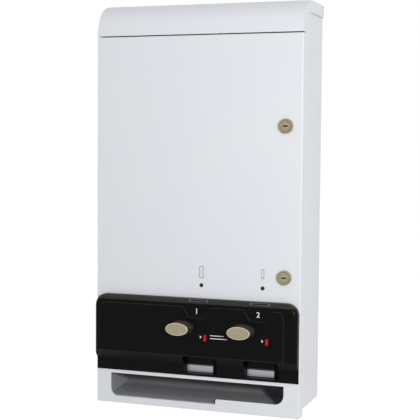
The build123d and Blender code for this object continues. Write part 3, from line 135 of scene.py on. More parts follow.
class Finish:
    """A finish in the making: its material, its tree, its one shader and object coordinates in metres."""

    def __init__(self, name, code, roughness, metallic=0.0, **uniform):
        self.material = bpy.data.materials.new(name)
        self.material.use_nodes = True
        self.material.diffuse_color = linear(code)
        self.tree = self.material.node_tree
        self.tree.nodes.clear()
        self.shader = self.add("ShaderNodeBsdfPrincipled",
                               {"Base Color": linear(code), "Roughness": roughness, "Metallic": metallic})
        for socket, value in uniform.items():
            self.shader.inputs[socket.replace("_", " ")].default_value = value
        self.add("ShaderNodeOutputMaterial", {"Surface": self.shader})
        self.place = self.add("ShaderNodeTexCoord").outputs["Object"]

    def add(self, kind, links=None, **settings):
        return add(self.tree, kind, links, **settings)

    def colour_between(self, share, first, second):
        """Gives the shader a colour that drifts between two hex codes."""
        mix = self.add("ShaderNodeMix", {0: share, 6: linear(first), 7: linear(second)}, data_type="RGBA")
        self.tree.links.new(mix.outputs[2], self.shader.inputs["Base Color"])

    def rough_between(self, share, low, high):
        """Gives the shader a roughness that drifts between two values."""
        rough = self.add("ShaderNodeMapRange", {"Value": share, "To Min": low, "To Max": high})
        self.tree.links.new(rough.outputs[0], self.shader.inputs["Roughness"])

    def relief(self, height, depth_mm, strength=1.0):
        """Gives the shader a bump of a depth in millimetres."""
        bump = self.add("ShaderNodeBump", {"Height": height, "Distance": depth_mm * MM, "Strength": strength})
        self.tree.links.new(bump.outputs[0], self.shader.inputs["Normal"])

    def overlay(self, share, code):
        """Lays a second colour over the finish where the share is 1."""
        base = self.shader.inputs["Base Color"].links[0].from_socket
        mix = self.add("ShaderNodeMix", {0: share, 6: base, 7: linear(code)}, data_type="RGBA")
        self.tree.links.new(mix.outputs[2], self.shader.inputs["Base Color"])

    def past(self, axis, start, end):
        """0 before a place on an axis and 1 after another, in object coordinates."""
        part = self.add("ShaderNodeSeparateXYZ", {0: self.place}).outputs[axis]
        return self.add("ShaderNodeMapRange", {"Value": part, "From Min": start, "From Max": end},
                        interpolation_type="SMOOTHSTEP")


def per_mm(size_mm):
    """Texture scale for a feature of a size in millimetres."""
    return 1 / (size_mm * MM)


print("white in linear light", [round(v, 3) for v in linear("#E2E4E9")])


# %% [markdown]
# Powder coat on sheet steel
#
# The powder is sprayed on dry and melts in an oven, and it freezes with a slight orange peel: shallow waves
# a millimetre or two across. They are too low to see as relief, but they soften every reflection. A broad,
# barely visible drift in tone keeps the big door from looking like paper.


# %% Powder coat
def powder_coat():
    made = Finish("white_powder_coat_on_steel", "#E3E5EA", 0.38, IOR=1.5)
    drift = made.add("ShaderNodeTexNoise", {"Vector": made.place, "Scale": per_mm(160), "Detail": 2.0})
    made.colour_between(drift, "#E0E3E9", "#E6E8EC")
    peel = made.add("ShaderNodeTexNoise", {"Vector": made.place, "Scale": per_mm(1.8), "Detail": 3.0})
    made.rough_between(peel, 0.33, 0.44)
    made.relief(peel, 0.03, 0.5)
    return made.material


coat = powder_coat()
print("made", coat.name)


# %% [markdown]
# Moulded plastics
#
# The panel, the cups and the tray come out of steel moulds that were etched or left satin. An etched mould
# leaves a fine grain of pits that spreads a highlight into a soft grey band, which is why the black panel
# looks charcoal along its rounded edges; here that band is a painted highlight, further down. Real grain is
# near 0.1 mm; it is drawn a few times coarser here so that it survives at picture size. The nylon of the
# drums is uncoloured, so it is a warm off-white, and the red levers are glossy because a polished mould makes
# them easy to find. The sold-out flags are red polystyrene that does not shine, darkened to a deep red as
# painted shade for the dim space behind their holes.

# %% Moulded plastics
def moulded(name, code, dark, pale, rough, grain_mm, depth_mm, **uniform):
    made = Finish(name, code, rough, IOR=1.46, **uniform)
    cloud = made.add("ShaderNodeTexNoise", {"Vector": made.place, "Scale": per_mm(45), "Detail": 3.0})
    made.colour_between(cloud, dark, pale)
    grain = made.add("ShaderNodeTexVoronoi", {"Vector": made.place, "Scale": per_mm(grain_mm)})
    made.rough_between(cloud, rough - 0.05, rough + 0.05)
    made.relief(grain.outputs["Distance"], depth_mm, 0.6)
    return made


tray_plastic = moulded("satin_grey_abs", "#98999C", "#939497", "#9E9FA2", rough=0.44, grain_mm=0.8,
                       depth_mm=0.02, Specular_IOR_Level=0.3).material
nylon = moulded("natural_nylon", "#D8D6CC", "#D2D0C5", "#DEDCD3", rough=0.45, grain_mm=1.2,
                depth_mm=0.02).material
red_plastic = moulded("polished_red_abs", "#B41A22", "#AB171F", "#BD1E27", rough=0.25, grain_mm=2.5,
                      depth_mm=0.005, Specular_IOR_Level=0.25).material
# Painted shade: the flags' red is darkened for the dim space behind their holes.
flag_red_darkened_as_shade = moulded("red_polystyrene_darkened_as_shade", "#33060D", "#2E050B", "#390810", rough=0.40, grain_mm=1.5,
                       depth_mm=0.01).material
print("made", tray_plastic.name, nylon.name, red_plastic.name, flag_red_darkened_as_shade.name)


# %% [markdown]
# The black panel's edges
#
# On the real panel the rounded top looks charcoal, the bevels round the raised field show as a thin paler
# line, and the rings round the buttons stay nearly black. Light alone makes too little of that on so dark a
# plastic, so the charcoal top and the paler bevel line are painted highlights, and the rings get a near-black
# tone of their own. Each is chosen by height and depth in object coordinates, which stay put when the door
# swings.

# %% Paint highlights on the panel's edges
def black_panel():
    made = moulded("etched_black_abs", "#060605", "#050504", "#080807", rough=0.30, grain_mm=0.5,
                   depth_mm=0.02, Specular_IOR_Level=0.09)
    behind_field = made.past("Y", field_front + 0.10 * MM, field_front + 0.30 * MM)
    at_face = made.past("Y", panel_face - 0.15 * MM, panel_face - 0.05 * MM)
    bevel_painted_highlight = made.add("ShaderNodeMath", {0: behind_field, 1: at_face}, operation="SUBTRACT")
    # Painted highlight: a paler line on the bevels round the raised field.
    made.overlay(bevel_painted_highlight, "#2E2E2C")
    rounded_top_painted_highlight = made.past("Z", panel_high.z - 8.3 * MM, panel_high.z - 7.0 * MM)
    # Painted highlight: a charcoal band on the panel's rounded top.
    made.overlay(rounded_top_painted_highlight, "#333231")
    behind_ring = made.past("Y", field_front - 1.1 * MM, field_front - 0.9 * MM)
    made.overlay(made.add("ShaderNodeMath", {0: 1.0, 1: behind_ring}, operation="SUBTRACT"), "#1C1B18")
    return made.material


panel_plastic = black_panel()
print("made", panel_plastic.name)


# %% [markdown]
# Plated and bare metals
#
# The buttons and locks are zinc and brass castings under satin nickel, which has a warm, slightly yellow
# grey. Nickel dulls where fingers and keys touch it, so its roughness wanders in patches of a few
# millimetres. The buttons' front rims get a paler tone as a painted highlight, and the step round each
# lock's plug and its keyway get a darker tone as painted shade.

# %% Nickel on the push buttons
def satin_nickel(name, code, dark, pale, rough, patch_mm, metallic=1.0):
    made = Finish(name, code, rough, metallic)
    patch = made.add("ShaderNodeTexNoise", {"Vector": made.place, "Scale": per_mm(patch_mm), "Detail": 5.0})
    made.colour_between(patch, dark, pale)
    made.rough_between(patch, rough - 0.07, rough + 0.09)
    grit = made.add("ShaderNodeTexNoise", {"Vector": made.place, "Scale": per_mm(0.45), "Detail": 2.0})
    made.relief(grit, 0.02, 0.5)
    return made


button = satin_nickel("satin_nickel_on_zinc", "#A09684", "#938975", "#AEA591", rough=0.36, patch_mm=3.5,
                      metallic=0.93)
button_front = button_boxes[0][0].y
past_painted_rim_highlight = button.past("Y", button_front + 0.3 * MM, button_front + 0.6 * MM)
# Painted highlight: the front rim of each button gets a paler tone.
button.overlay(button.add("ShaderNodeMath", {0: 1.0, 1: past_painted_rim_highlight}, operation="SUBTRACT"), "#C9BFA8")
button_nickel = button.material
print("made", button_nickel.name)


# %% Nickel and painted shade on the locks
def ring_of_painted_shade(made, centres, radius_mm, half_width_mm):
    """Painted shade mask: 1 on a circle round each lock's axis, and 0 away from it."""
    flat = made.add("ShaderNodeVectorMath", {0: made.place, 1: (1, 0, 1)}, operation="MULTIPLY")
    gaps = []
    for x, z in centres:
        reach = made.add("ShaderNodeVectorMath", {0: flat, 1: (x, 0, z)}, operation="DISTANCE")
        off = made.add("ShaderNodeMath", {0: reach.outputs["Value"], 1: radius_mm * MM}, operation="SUBTRACT")
        gaps.append(made.add("ShaderNodeMath", {0: off}, operation="ABSOLUTE"))
    nearest = made.add("ShaderNodeMath", {0: gaps[0], 1: gaps[1]}, operation="MINIMUM")
    return made.add("ShaderNodeMapRange", {"Value": nearest, "From Min": 0.0, "From Max": half_width_mm * MM,
                                           "To Min": 1.0, "To Max": 0.0})


LOCK_TONES = ("#A79D83", "#988E74", "#B4AA90")
LOCK_WEAR = {"rough": 0.38, "patch_mm": 2.5}
STEP_SHADE = "#5A5241"
KEYWAY_SHADE = "#0B0906"
lock_boxes = [[Vector(corner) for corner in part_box("lock_plug_" + place)] for place in ("upper", "lower")]
lock_centres = [((low.x + high.x) / 2, (low.z + high.z) / 2) for low, high in lock_boxes]
head = satin_nickel("dull_nickel_on_brass", *LOCK_TONES, **LOCK_WEAR)
# Painted shade: a darker ring in the step round each lock's head.
head.overlay(ring_of_painted_shade(head, lock_centres, radius_mm=9.3, half_width_mm=0.8), STEP_SHADE)
lock_nickel = head.material
plug = satin_nickel("dull_nickel_with_painted_keyway_shade", *LOCK_TONES, **LOCK_WEAR)
# Painted shade: a darker ring in the step round each plug.
plug.overlay(ring_of_painted_shade(plug, lock_centres, radius_mm=6.6, half_width_mm=0.7), STEP_SHADE)
plug_front = lock_boxes[0][0].y
# Painted shade: the keyway is darkened.
plug.overlay(plug.past("Y", plug_front + 0.8 * MM, plug_front + 1.2 * MM), KEYWAY_SHADE)
plug_nickel = plug.material
print("made", lock_nickel.name, plug_nickel.name)


# %% [markdown]
# Sheet, wire and plate
#
# Brushed sheet has long scratches in one direction: a noise that is stretched a hundred times along the
# brushing gives the same streaks. The coin flaps are such a sheet, and the roll round their pin gets painted
# shade, a dark band where it sits under the lip of the cup. The darkened plates at the coin slots and the
# drawn wire of the springs have the same streaks in a darker tone. Galvanised sheet shows spangle, zinc
# crystals 8 to 15 mm wide, each of its own brightness, and a Voronoi pattern is a natural fit because
# crystals grow until they meet. Bright zinc plate on screws and hinge leaves is smoother, with a faint bloom
# instead of crystals.

# %% Brushed and galvanised sheet
def brushed_steel(name, code, dark, pale, rough, metallic=1.0):
    made = Finish(name, code, rough, metallic)
    grain = (per_mm(40), per_mm(0.35), per_mm(0.35))
    along = made.add("ShaderNodeMapping", {"Vector": made.place, "Scale": grain})
    streak = made.add("ShaderNodeTexNoise", {"Vector": along, "Scale": 1.0, "Detail": 4.0})
    made.colour_between(streak, dark, pale)
    made.rough_between(streak, rough - 0.08, rough + 0.08)
    made.relief(streak, 0.01, 0.5)
    return made


def galvanised_steel():
    made = Finish("hot_dip_galvanised_steel", "#A9ADB0", 0.45, 1.0)
    crystal = made.add("ShaderNodeTexVoronoi", {"Vector": made.place, "Scale": per_mm(11)})
    tone = made.add("ShaderNodeSeparateColor", {"Color": crystal.outputs["Color"]})
    made.colour_between(tone, "#9DA1A4", "#B6BABC")
    made.rough_between(tone, 0.34, 0.56)
    cloud = made.add("ShaderNodeTexNoise", {"Vector": made.place, "Scale": per_mm(2.5), "Detail": 4.0})
    made.relief(cloud, 0.02, 0.4)
    return made.material


def zinc_plate():
    made = Finish("bright_zinc_plate_on_steel", "#B9BCBC", 0.30, 1.0)
    bloom = made.add("ShaderNodeTexNoise", {"Vector": made.place, "Scale": per_mm(4), "Detail": 4.0})
    made.colour_between(bloom, "#ADB0AE", "#C4C6C8")
    made.rough_between(bloom, 0.22, 0.40)
    return made.material


flap = brushed_steel("brushed_stainless_sheet", "#A8AAB1", "#9FA1A8", "#B1B3BA", rough=0.30, metallic=0.55)
flap_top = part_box("return_flap_1")[1][2]
# Painted shade: a dark band over the roll at the flap's top, under the lip of the cup.
flap.overlay(flap.past("Z", flap_top - 4.4 * MM, flap_top - 3.4 * MM), "#26262A")
flap_steel = flap.material
plate_steel = brushed_steel("darkened_satin_steel", "#595A5C", "#525355", "#616264", rough=0.42).material
wire_steel = brushed_steel("drawn_spring_wire", "#8E9092", "#808284", "#9C9EA0", rough=0.30).material
galvanised = galvanised_steel()
zinc = zinc_plate()
print("made", flap_steel.name, plate_steel.name, wire_steel.name, galvanised.name, zinc.name)


# %% [markdown]
# Enamel and ink
#
# The follower weights are iron cast in sand and dipped in grey enamel, and the sand's grain still shows
# through as a soft pebbled relief. Screen print ink is matt, and it lies a little thinner here and there.

# %% Painted castings and printing ink
def enamel_on_iron():
    made = Finish("grey_enamel_on_cast_iron", "#4A4C50", 0.50, IOR=1.5)
    sand = made.add("ShaderNodeTexNoise", {"Vector": made.place, "Scale": per_mm(1.6), "Detail": 5.0})
    made.colour_between(sand, "#44464A", "#505256")
    made.relief(sand, 0.12, 0.7)
    return made.material


def screen_ink(name, code, thin_code):
    made = Finish(name, code, 0.55, IOR=1.45)
    mesh_dots = made.add("ShaderNodeTexNoise", {"Vector": made.place, "Scale": per_mm(0.8), "Detail": 2.0})
    made.colour_between(mesh_dots, code, thin_code)
    return made.material


iron = enamel_on_iron()
white_ink = screen_ink("white_screen_print_ink", "#EDEDEB", "#E2E2E0")
grey_ink = screen_ink("grey_screen_print_ink", "#909298", "#9C9EA4")
print("made", iron.name, white_ink.name, grey_ink.name)


# %% [markdown]
# Dressing the engineered pieces
#
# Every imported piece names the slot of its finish, so one table from slot to material dresses all of them.

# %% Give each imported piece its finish
finish_of_slot = {
    "white_powder_coat": coat,
    "galvanised_steel": galvanised,
    "zinc_plated_steel": zinc,
    "spring_wire": wire_steel,
    "black_moulded_plastic": panel_plastic,
    "grey_moulded_plastic": tray_plastic,
    "white_moulded_plastic": nylon,
    "satin_nickel": button_nickel,
    "lock_brass": lock_nickel,
    "stainless_sheet": flap_steel,
    "darkened_steel": plate_steel,
    "red_plastic": red_plastic,
    "dark_red_plastic": flag_red_darkened_as_shade,
    "cast_weight": iron,
}
for part in frame["record"]["subparts"]:
    node = frame["nodes"][part["node"]]
    node.data.materials.clear()
    node.data.materials.append(finish_of_slot[part["material_slot"]])
for name in ("lock_plug_upper", "lock_plug_lower"):
    frame["nodes"][name].data.materials[0] = plug_nickel
for name in ("hinge_leaf_cabinet", "hinge_leaf_door"):
    frame["nodes"][name].data.materials[0] = zinc


# %% [markdown]
# Printed marks
#
# Ink stands a few hundredths of a millimetre above the sheet. Each mark is a thin mesh laid on the surface
# that a ray finds under it, so it neither floats nor sinks, whichever way the panel is moulded. The door has
# an outline of a pad and of a tampon above the two sight holes. The panel has a plain number in each notch,
# a triangle that points at each lever, and two plain bars where the real one has words.

# %% Find the surface under a mark
IN_FRONT = panel_low.y - 100 * MM


def front_of(node_name, x, z):
    """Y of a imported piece's surface, seen from the front at (x, z)."""
    start = Vector((x, IN_FRONT, z))
    hit, where = frame["nodes"][node_name].ray_cast(start, Vector((0, 1, 0)))[:2]
    if not hit:
        raise ValueError(f"nothing of {node_name} at {x:.3f}, {z:.3f}")
    return where.y


def up(height_mm):
    """Z of a height above the door's lower edge, in millimetres."""
    return door_base + height_mm * MM


print("door", round(front_of("door_panel", 0.0, up(300)), 4),
      "panel", round(front_of("control_panel", 0.0, up(110)), 4))


# %% Lay ink on a surface
INK = 0.06 * MM


def band(mesh, first, second):
    """Quads between two loops of as many corners."""
    for a in range(len(first)):
        b = (a + 1) % len(first)
        mesh.faces.new((first[a], first[b], second[b], second[a]))


def ink(name, outlines, node_name, under, material, body):
    """A flat printed mark. Its outlines are closed loops of (x, z), filled alone or as a band of two."""
    y = front_of(node_name, *under)
    mesh = bmesh.new()
    for loops in outlines:
        front, back = ([[mesh.verts.new((x, depth, z)) for x, z in loop] for loop in loops]
                       for depth in (y - INK, y))
        for rings in (front, back):
            if len(rings) == 1:
                mesh.faces.new(rings[0])
            else:
                band(mesh, *rings)
        for near, far in zip(front, back):
            band(mesh, near, far)
    bmesh.ops.recalc_face_normals(mesh, faces=mesh.faces[:])
    data = bpy.data.meshes.new(name)
    mesh.to_mesh(data)
    mesh.free()
    piece = bpy.data.objects.new(name, data)
    bpy.context.scene.collection.objects.link(piece)
    data.materials.append(material)
    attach(piece, body)
    return piece


CORNER_STEPS = 6


def capsule(x, z, half_width, half_height, corner, waist=0.0):
    """A rounded rectangle round (x, z), drawn in at its middle by a waist."""
    points = []
    for side_x, side_z, first in ((1, 1, 0), (-1, 1, 90), (-1, -1, 180), (1, -1, 270)):
        for step in range(CORNER_STEPS + 1):
            turn = math.radians(first + 90 * step / CORNER_STEPS)
            points.append((x + side_x * (half_width - corner) + corner * math.cos(turn),
                           z + side_z * (half_height - corner) + corner * math.sin(turn)))
    if waist:
        points.insert(2 * (CORNER_STEPS + 1), (x - half_width + waist, z))
        points.append((x + half_width - waist, z))
    return points


print("a capsule has", len(capsule(0, 0, 4 * MM, 10 * MM, 4 * MM)), "points")


# %% Pictograms on the door
def outline(x, z, half_width, half_height, half_line, corners, waist=0.0):
    """A line round (x, z): an inner and an outer loop, each with its own corner radius."""
    return tuple(capsule(x, z, half_width + side * half_line, half_height + side * half_line, corner, waist)
                 for side, corner in zip((-1, 1), corners))


pad_x, tampon_x = columns
pad_z = up(230)
pad_line = outline(pad_x, pad_z, 3.5 * MM, 9.1 * MM, 0.6 * MM, (1.8 * MM, 2.4 * MM), 0.9 * MM)
ink("pad_pictogram", [pad_line], "door_panel", (pad_x, pad_z), grey_ink, "door")

tube_z = up(232)
tube_tall = 7.1 * MM
thin = 0.5 * MM
wave, steps, step_down = 0.6 * MM, 6, 0.7 * MM
tube_line = outline(tampon_x, tube_z, 2.1 * MM, tube_tall, thin, (0.9 * MM, 1.6 * MM))
string = [(tampon_x + wave * math.sin(step / steps * math.pi), tube_z - tube_tall - step * step_down)
          for step in range(steps + 1)]
string_loop = [(x - thin, z) for x, z in string] + [(x + thin, z) for x, z in string[::-1]]
ink("tampon_pictogram", [tube_line, (string_loop,)], "door_panel", (tampon_x, tube_z), grey_ink, "door")
print("pictograms at", round(pad_x, 4), round(tampon_x, 4))


# %% Numbers in the notches
FIGURE_SHARE = 0.7
STROKE_GROWTH = 0.012


def number_mark(digit, x, z, tall):
    """A column number from the built-in font, turned into a mesh that stands upright on the panel."""
    curve = bpy.data.curves.new("column_number_" + digit, "FONT")
    curve.body = digit
    curve.align_x = "CENTER"
    curve.align_y = "CENTER"
    curve.size = tall / FIGURE_SHARE
    curve.offset = STROKE_GROWTH * tall
    curve.extrude = INK / 2
    text = bpy.data.objects.new("column_number_" + digit, curve)
    bpy.context.scene.collection.objects.link(text)
    bpy.context.view_layer.update()
    data = bpy.data.meshes.new_from_object(text.evaluated_get(bpy.context.evaluated_depsgraph_get()))
    bpy.data.objects.remove(text)
    y = front_of("control_panel", x, z) - INK / 2
    data.transform(Matrix.Translation((x, y, z)) @ Matrix.Rotation(math.radians(90), 4, "X"))
    data.materials.clear()
    data.materials.append(white_ink)
    piece = bpy.data.objects.new("column_number_" + digit, data)
    bpy.context.scene.collection.objects.link(piece)
    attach(piece, "door")
    return piece


number_shift = -2.6 * MM
number_z = up(166.7)
for digit, x in zip("12", columns):
    number_mark(digit, x + number_shift, number_z, tall=8.6 * MM)
print("numbers at", [round(x + number_shift, 4) for x in columns])


# %% Triangles and plain bars
arrow_gap, arrow_long, arrow_half, arrow_lift = 3.7 * MM, 2.9 * MM, 2.7 * MM, 1.2 * MM
for mark, (low, high) in zip("12", lever_boxes):
    tip = low.x - arrow_gap
    z = (low.z + high.z) / 2 + arrow_lift
    arrow = [(tip - arrow_long, z - arrow_half), (tip, z), (tip - arrow_long, z + arrow_half)]
    ink("lever_arrow_" + mark, [(arrow,)], "control_panel", (tip - MM, z), white_ink, "door")

lever_low, lever_high = lever_boxes[0]
bar_left = lever_high.x + 6.6 * MM
bars_z = (lever_low.z + lever_high.z) / 2 + 2.2 * MM
bar_half, bar_offset = 0.62 * MM, 2.4 * MM
flat_spot = (bar_left + 2 * MM, up(126))
bar_rows = []
for z, width in ((bars_z + bar_offset, 23.5 * MM), (bars_z - bar_offset, 29 * MM)):
    bar_rows.append(([(bar_left, z - bar_half), (bar_left + width, z - bar_half),
                      (bar_left + width, z + bar_half), (bar_left, z + bar_half)],))
ink("plain_bars", bar_rows, "control_panel", flat_spot, white_ink, "door")
print("panel marks done")


# %% [markdown]
# Fasteners from one recipe
#
# Thirty screws hold this cabinet together, and they differ only in size. Geometry Nodes suit that: the tree
# turns a squashed ball into a domed head, adds the shank, cuts a cross into the head, and sets a copy on each
# place, turned by a seeded random angle because no two screws stop at the same angle. Sizes and places are
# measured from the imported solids, so that the detailed screws stay in their holes.

# %% Measure the fasteners of a node
def loose_solids(node_name):
    """Vertex coordinates of each separate solid of a node, as arrays."""
    mesh = frame["nodes"][node_name].data
    spots = np.empty(len(mesh.vertices) * 3)
    mesh.vertices.foreach_get("co", spots)
    spots = spots.reshape(-1, 3)
    keys = {}
    same = [keys.setdefault(tuple(spot), index) for index, spot in enumerate(np.round(spots, 7).tolist())]
    parent = list(range(len(spots)))

    def root(index):
        while parent[index] != index:
            parent[index] = parent[parent[index]]
            index = parent[index]
        return index

    for edge in mesh.edges:
        a, b = (root(same[vertex]) for vertex in edge.vertices)
        parent[a] = b
    groups = {}
    for index in range(len(spots)):
        groups.setdefault(root(same[index]), []).append(index)
    return [spots[members] for members in groups.values()]


RIM_SHARE = 0.97


def fastener_sizes(spots, out):
    """Seat, head and shank of one headed fastener whose head faces the way out."""
    out = np.array(out, float)
    along = spots @ out
    middle = (spots.min(0) + spots.max(0)) / 2
    across = spots - middle
    radius = np.linalg.norm(across - np.outer(across @ out, out), axis=1)
    head = radius > radius.max() * RIM_SHARE
    seat = along[head].min()
    shank = radius[along < seat - 0.1 * MM].max()
    place = middle + out * (seat - middle @ out)
    return {"place": place, "Head radius": radius.max(), "Head height": along.max() - seat,
            "Shank radius": shank, "Shank length": seat - along.min()}


panel_screw = fastener_sizes(loose_solids("panel_screws")[0], (0, 1, 0))
print({name: np.round(value / MM, 2).tolist() for name, value in panel_screw.items()})


# %% Node groups with named sizes
FASTENER_SIZES = ("Head radius", "Head height", "Shank radius", "Shank length")


def start_group(name, sizes):
    """A tree that takes places, named sizes and a material, and gives a mesh."""
    tree = bpy.data.node_groups.new(name, "GeometryNodeTree")
    tree.interface.new_socket("Places", in_out="INPUT", socket_type="NodeSocketGeometry")
    for size in sizes:
        tree.interface.new_socket(size, in_out="INPUT", socket_type="NodeSocketFloat")
    tree.interface.new_socket("Material", in_out="INPUT", socket_type="NodeSocketMaterial")
    tree.interface.new_socket("Mesh", in_out="OUTPUT", socket_type="NodeSocketGeometry")
    return tree, add(tree, "NodeGroupInput")


def finish_group(tree, start, copies):
    """Ends a tree with real meshes and their material."""
    real = add(tree, "GeometryNodeRealizeInstances", {"Geometry": copies})
    dressed = add(tree, "GeometryNodeSetMaterial", {"Geometry": real, "Material": start.outputs["Material"]})
    add(tree, "NodeGroupOutput", {"Mesh": dressed})
    return tree


print("sizes of a fastener:", ", ".join(FASTENER_SIZES))


# %% Head, shank and places
JOIN = {"operation": "UNION", "solver": "EXACT"}
CUT = {"operation": "DIFFERENCE", "solver": "EXACT"}


def dome(tree, start):
    """Half of a squashed ball: a head whose flat side lies on the seat."""
    radius = start.outputs["Head radius"]
    squash = add(tree, "ShaderNodeCombineXYZ", {"X": radius, "Y": radius, "Z": start.outputs["Head height"]})
    ball = add(tree, "GeometryNodeMeshUVSphere", {"Segments": 32, "Rings": 16, "Radius": 1.0})
    ball = add(tree, "GeometryNodeTransform", {"Geometry": ball, "Scale": squash})
    wide = add(tree, "ShaderNodeMath", {0: radius, 1: 3.0}, operation="MULTIPLY")
    down = add(tree, "ShaderNodeMath", {0: wide, 1: -0.5}, operation="MULTIPLY")
    size = add(tree, "ShaderNodeCombineXYZ", {"X": wide, "Y": wide, "Z": wide})
    shift = add(tree, "ShaderNodeCombineXYZ", {"Z": down})
    under = add(tree, "GeometryNodeMeshCube", {"Size": size})
    under = add(tree, "GeometryNodeTransform", {"Geometry": under, "Translation": shift})
    return add(tree, "GeometryNodeMeshBoolean", {"Mesh 1": ball, "Mesh 2": under}, **CUT)


def shank(tree, start):
    """The straight part below the seat, sunk a third of the way into the head so that they join."""
    below = start.outputs["Shank length"]
    overlap = add(tree, "ShaderNodeMath", {0: start.outputs["Head height"], 1: 0.3}, operation="MULTIPLY")
    depth = add(tree, "ShaderNodeMath", {0: below, 1: overlap}, operation="ADD")
    rod = add(tree, "GeometryNodeMeshCylinder",
              {"Vertices": 24, "Radius": start.outputs["Shank radius"], "Depth": depth})
    drop = add(tree, "ShaderNodeMath", {0: below, 1: -0.5}, operation="MULTIPLY")
    lift = add(tree, "ShaderNodeMath", {0: overlap, 1: 0.5, 2: drop}, operation="MULTIPLY_ADD")
    shift = add(tree, "ShaderNodeCombineXYZ", {"Z": lift})
    return add(tree, "GeometryNodeTransform", {"Geometry": rod, "Translation": shift})


def on_places(tree, start, mesh, seed):
    """A copy on each place, its head facing out, turned at random round its axis."""
    out = add(tree, "GeometryNodeInputNamedAttribute", {"Name": "out"}, data_type="FLOAT_VECTOR")
    aim = add(tree, "FunctionNodeAlignRotationToVector", {"Vector": out}, axis="Z")
    angle = add(tree, "FunctionNodeRandomValue", {3: 2 * math.pi, "Seed": seed}, data_type="FLOAT")
    turn = add(tree, "FunctionNodeAxisAngleToRotation", {"Axis": (0, 0, 1), "Angle": angle.outputs[1]})
    rotation = add(tree, "FunctionNodeRotateRotation", {0: aim, 1: turn}, rotation_space="LOCAL")
    return add(tree, "GeometryNodeInstanceOnPoints",
               {"Points": start.outputs["Places"], "Instance": mesh, "Rotation": rotation})


print("meshes are joined by", JOIN, "and cut by", CUT)


# %% Screw and rivet trees
def screw_group():
    """Domed head with a cross recess, on a plain shank."""
    tree, start = start_group("recessed_screw", (*FASTENER_SIZES, "Recess"))
    height, recess = start.outputs["Head height"], start.outputs["Recess"]
    body = add(tree, "GeometryNodeMeshBoolean", {"Mesh 2": [dome(tree, start), shank(tree, start)]}, **JOIN)
    long = add(tree, "ShaderNodeMath", {0: recess, 1: 2.0}, operation="MULTIPLY")
    thin = add(tree, "ShaderNodeMath", {0: recess, 1: 0.42}, operation="MULTIPLY")
    deep = add(tree, "ShaderNodeMath", {0: height, 1: 1.1}, operation="MULTIPLY")
    lift = add(tree, "ShaderNodeCombineXYZ", {"Z": height})
    for across, along in ((long, thin), (thin, long)):
        size = add(tree, "ShaderNodeCombineXYZ", {"X": across, "Y": along, "Z": deep})
        bar = add(tree, "GeometryNodeMeshCube", {"Size": size})
        bar = add(tree, "GeometryNodeTransform", {"Geometry": bar, "Translation": lift})
        body = add(tree, "GeometryNodeMeshBoolean", {"Mesh 1": body, "Mesh 2": bar}, **CUT)
    return finish_group(tree, start, on_places(tree, start, body, seed=7))


def rivet_group():
    """Two domed heads on a short shank."""
    tree, start = start_group("domed_rivet", FASTENER_SIZES)
    near = dome(tree, start)
    far = add(tree, "GeometryNodeTransform", {"Geometry": near, "Scale": (1.0, 1.0, -1.0)})
    far = add(tree, "GeometryNodeFlipFaces", {"Mesh": far})
    drop = add(tree, "ShaderNodeMath", {0: start.outputs["Shank length"], 1: -1.0}, operation="MULTIPLY")
    shift = add(tree, "ShaderNodeCombineXYZ", {"Z": drop})
    far = add(tree, "GeometryNodeTransform", {"Geometry": far, "Translation": shift})
    body = add(tree, "GeometryNodeMeshBoolean", {"Mesh 2": [near, shank(tree, start), far]}, **JOIN)
    return finish_group(tree, start, on_places(tree, start, body, seed=3))


recessed_screw = screw_group()
domed_rivet = rivet_group()
print("trees", recessed_screw.name, domed_rivet.name)


# %% Bake one mesh for each node of fasteners
def baked(name, places, outs, tree, sizes, material):
    """Runs a tree on a set of places and keeps its result as a plain object."""
    source = bpy.data.meshes.new(name + "_places")
    source.from_pydata(places, [], [])
    if outs:
        attribute = source.attributes.new("out", "FLOAT_VECTOR", "POINT")
        for index, out in enumerate(outs):
            attribute.data[index].vector = out
    maker = bpy.data.objects.new(name + "_maker", source)
    bpy.context.scene.collection.objects.link(maker)
    modifier = maker.modifiers.new("maker", "NODES")
    modifier.node_group = tree
    for socket in tree.interface.items_tree:
        if socket.in_out == "INPUT" and socket.name in sizes:
            modifier[socket.identifier] = float(sizes[socket.name])
        elif socket.in_out == "INPUT" and socket.name == "Material":
            modifier[socket.identifier] = material
    graph = bpy.context.evaluated_depsgraph_get()
    data = bpy.data.meshes.new_from_object(maker.evaluated_get(graph), depsgraph=graph)
    bpy.data.objects.remove(maker)
    data.name = name
    piece = bpy.data.objects.new(name, data)
    bpy.context.scene.collection.objects.link(piece)
    return piece


RECESS_SHARE = 0.55


def detailed_fasteners(node, name, body, out_of):
    """Replaces a node's plain screws; out_of gives the way that each head faces."""
    solids = loose_solids(node)
    kinds = {}
    for spots in solids:
        out = out_of(spots)
        sizes = fastener_sizes(spots, out)
        place = sizes.pop("place").tolist()
        hundredths = tuple(round(size / (0.01 * MM)) for size in sizes.values())
        kinds.setdefault(hundredths, []).append((place, out, sizes))
    pieces = []
    for number, members in enumerate(kinds.values(), 1):
        places, outs, sizes = zip(*members)
        recess = {"Recess": sizes[0]["Head radius"] * RECESS_SHARE}
        label = name if len(kinds) == 1 else name + "_" + str(number)
        piece = baked(label, places, outs, recessed_screw, sizes[0] | recess, zinc)
        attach(piece, body)
        pieces.append(piece)
    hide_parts(node)
    faces = sum(len(piece.data.polygons) for piece in pieces)
    print(node, "screws", len(solids), "kinds", len(kinds), "faces", faces)


def tray_or_chute(spots):
    """The tray's screws stand up, and the chute's, in the back wall, face the front."""
    near_back = -30 * MM
    return (0, 0, 1) if spots[:, 1].max() < near_back else (0, -1, 0)


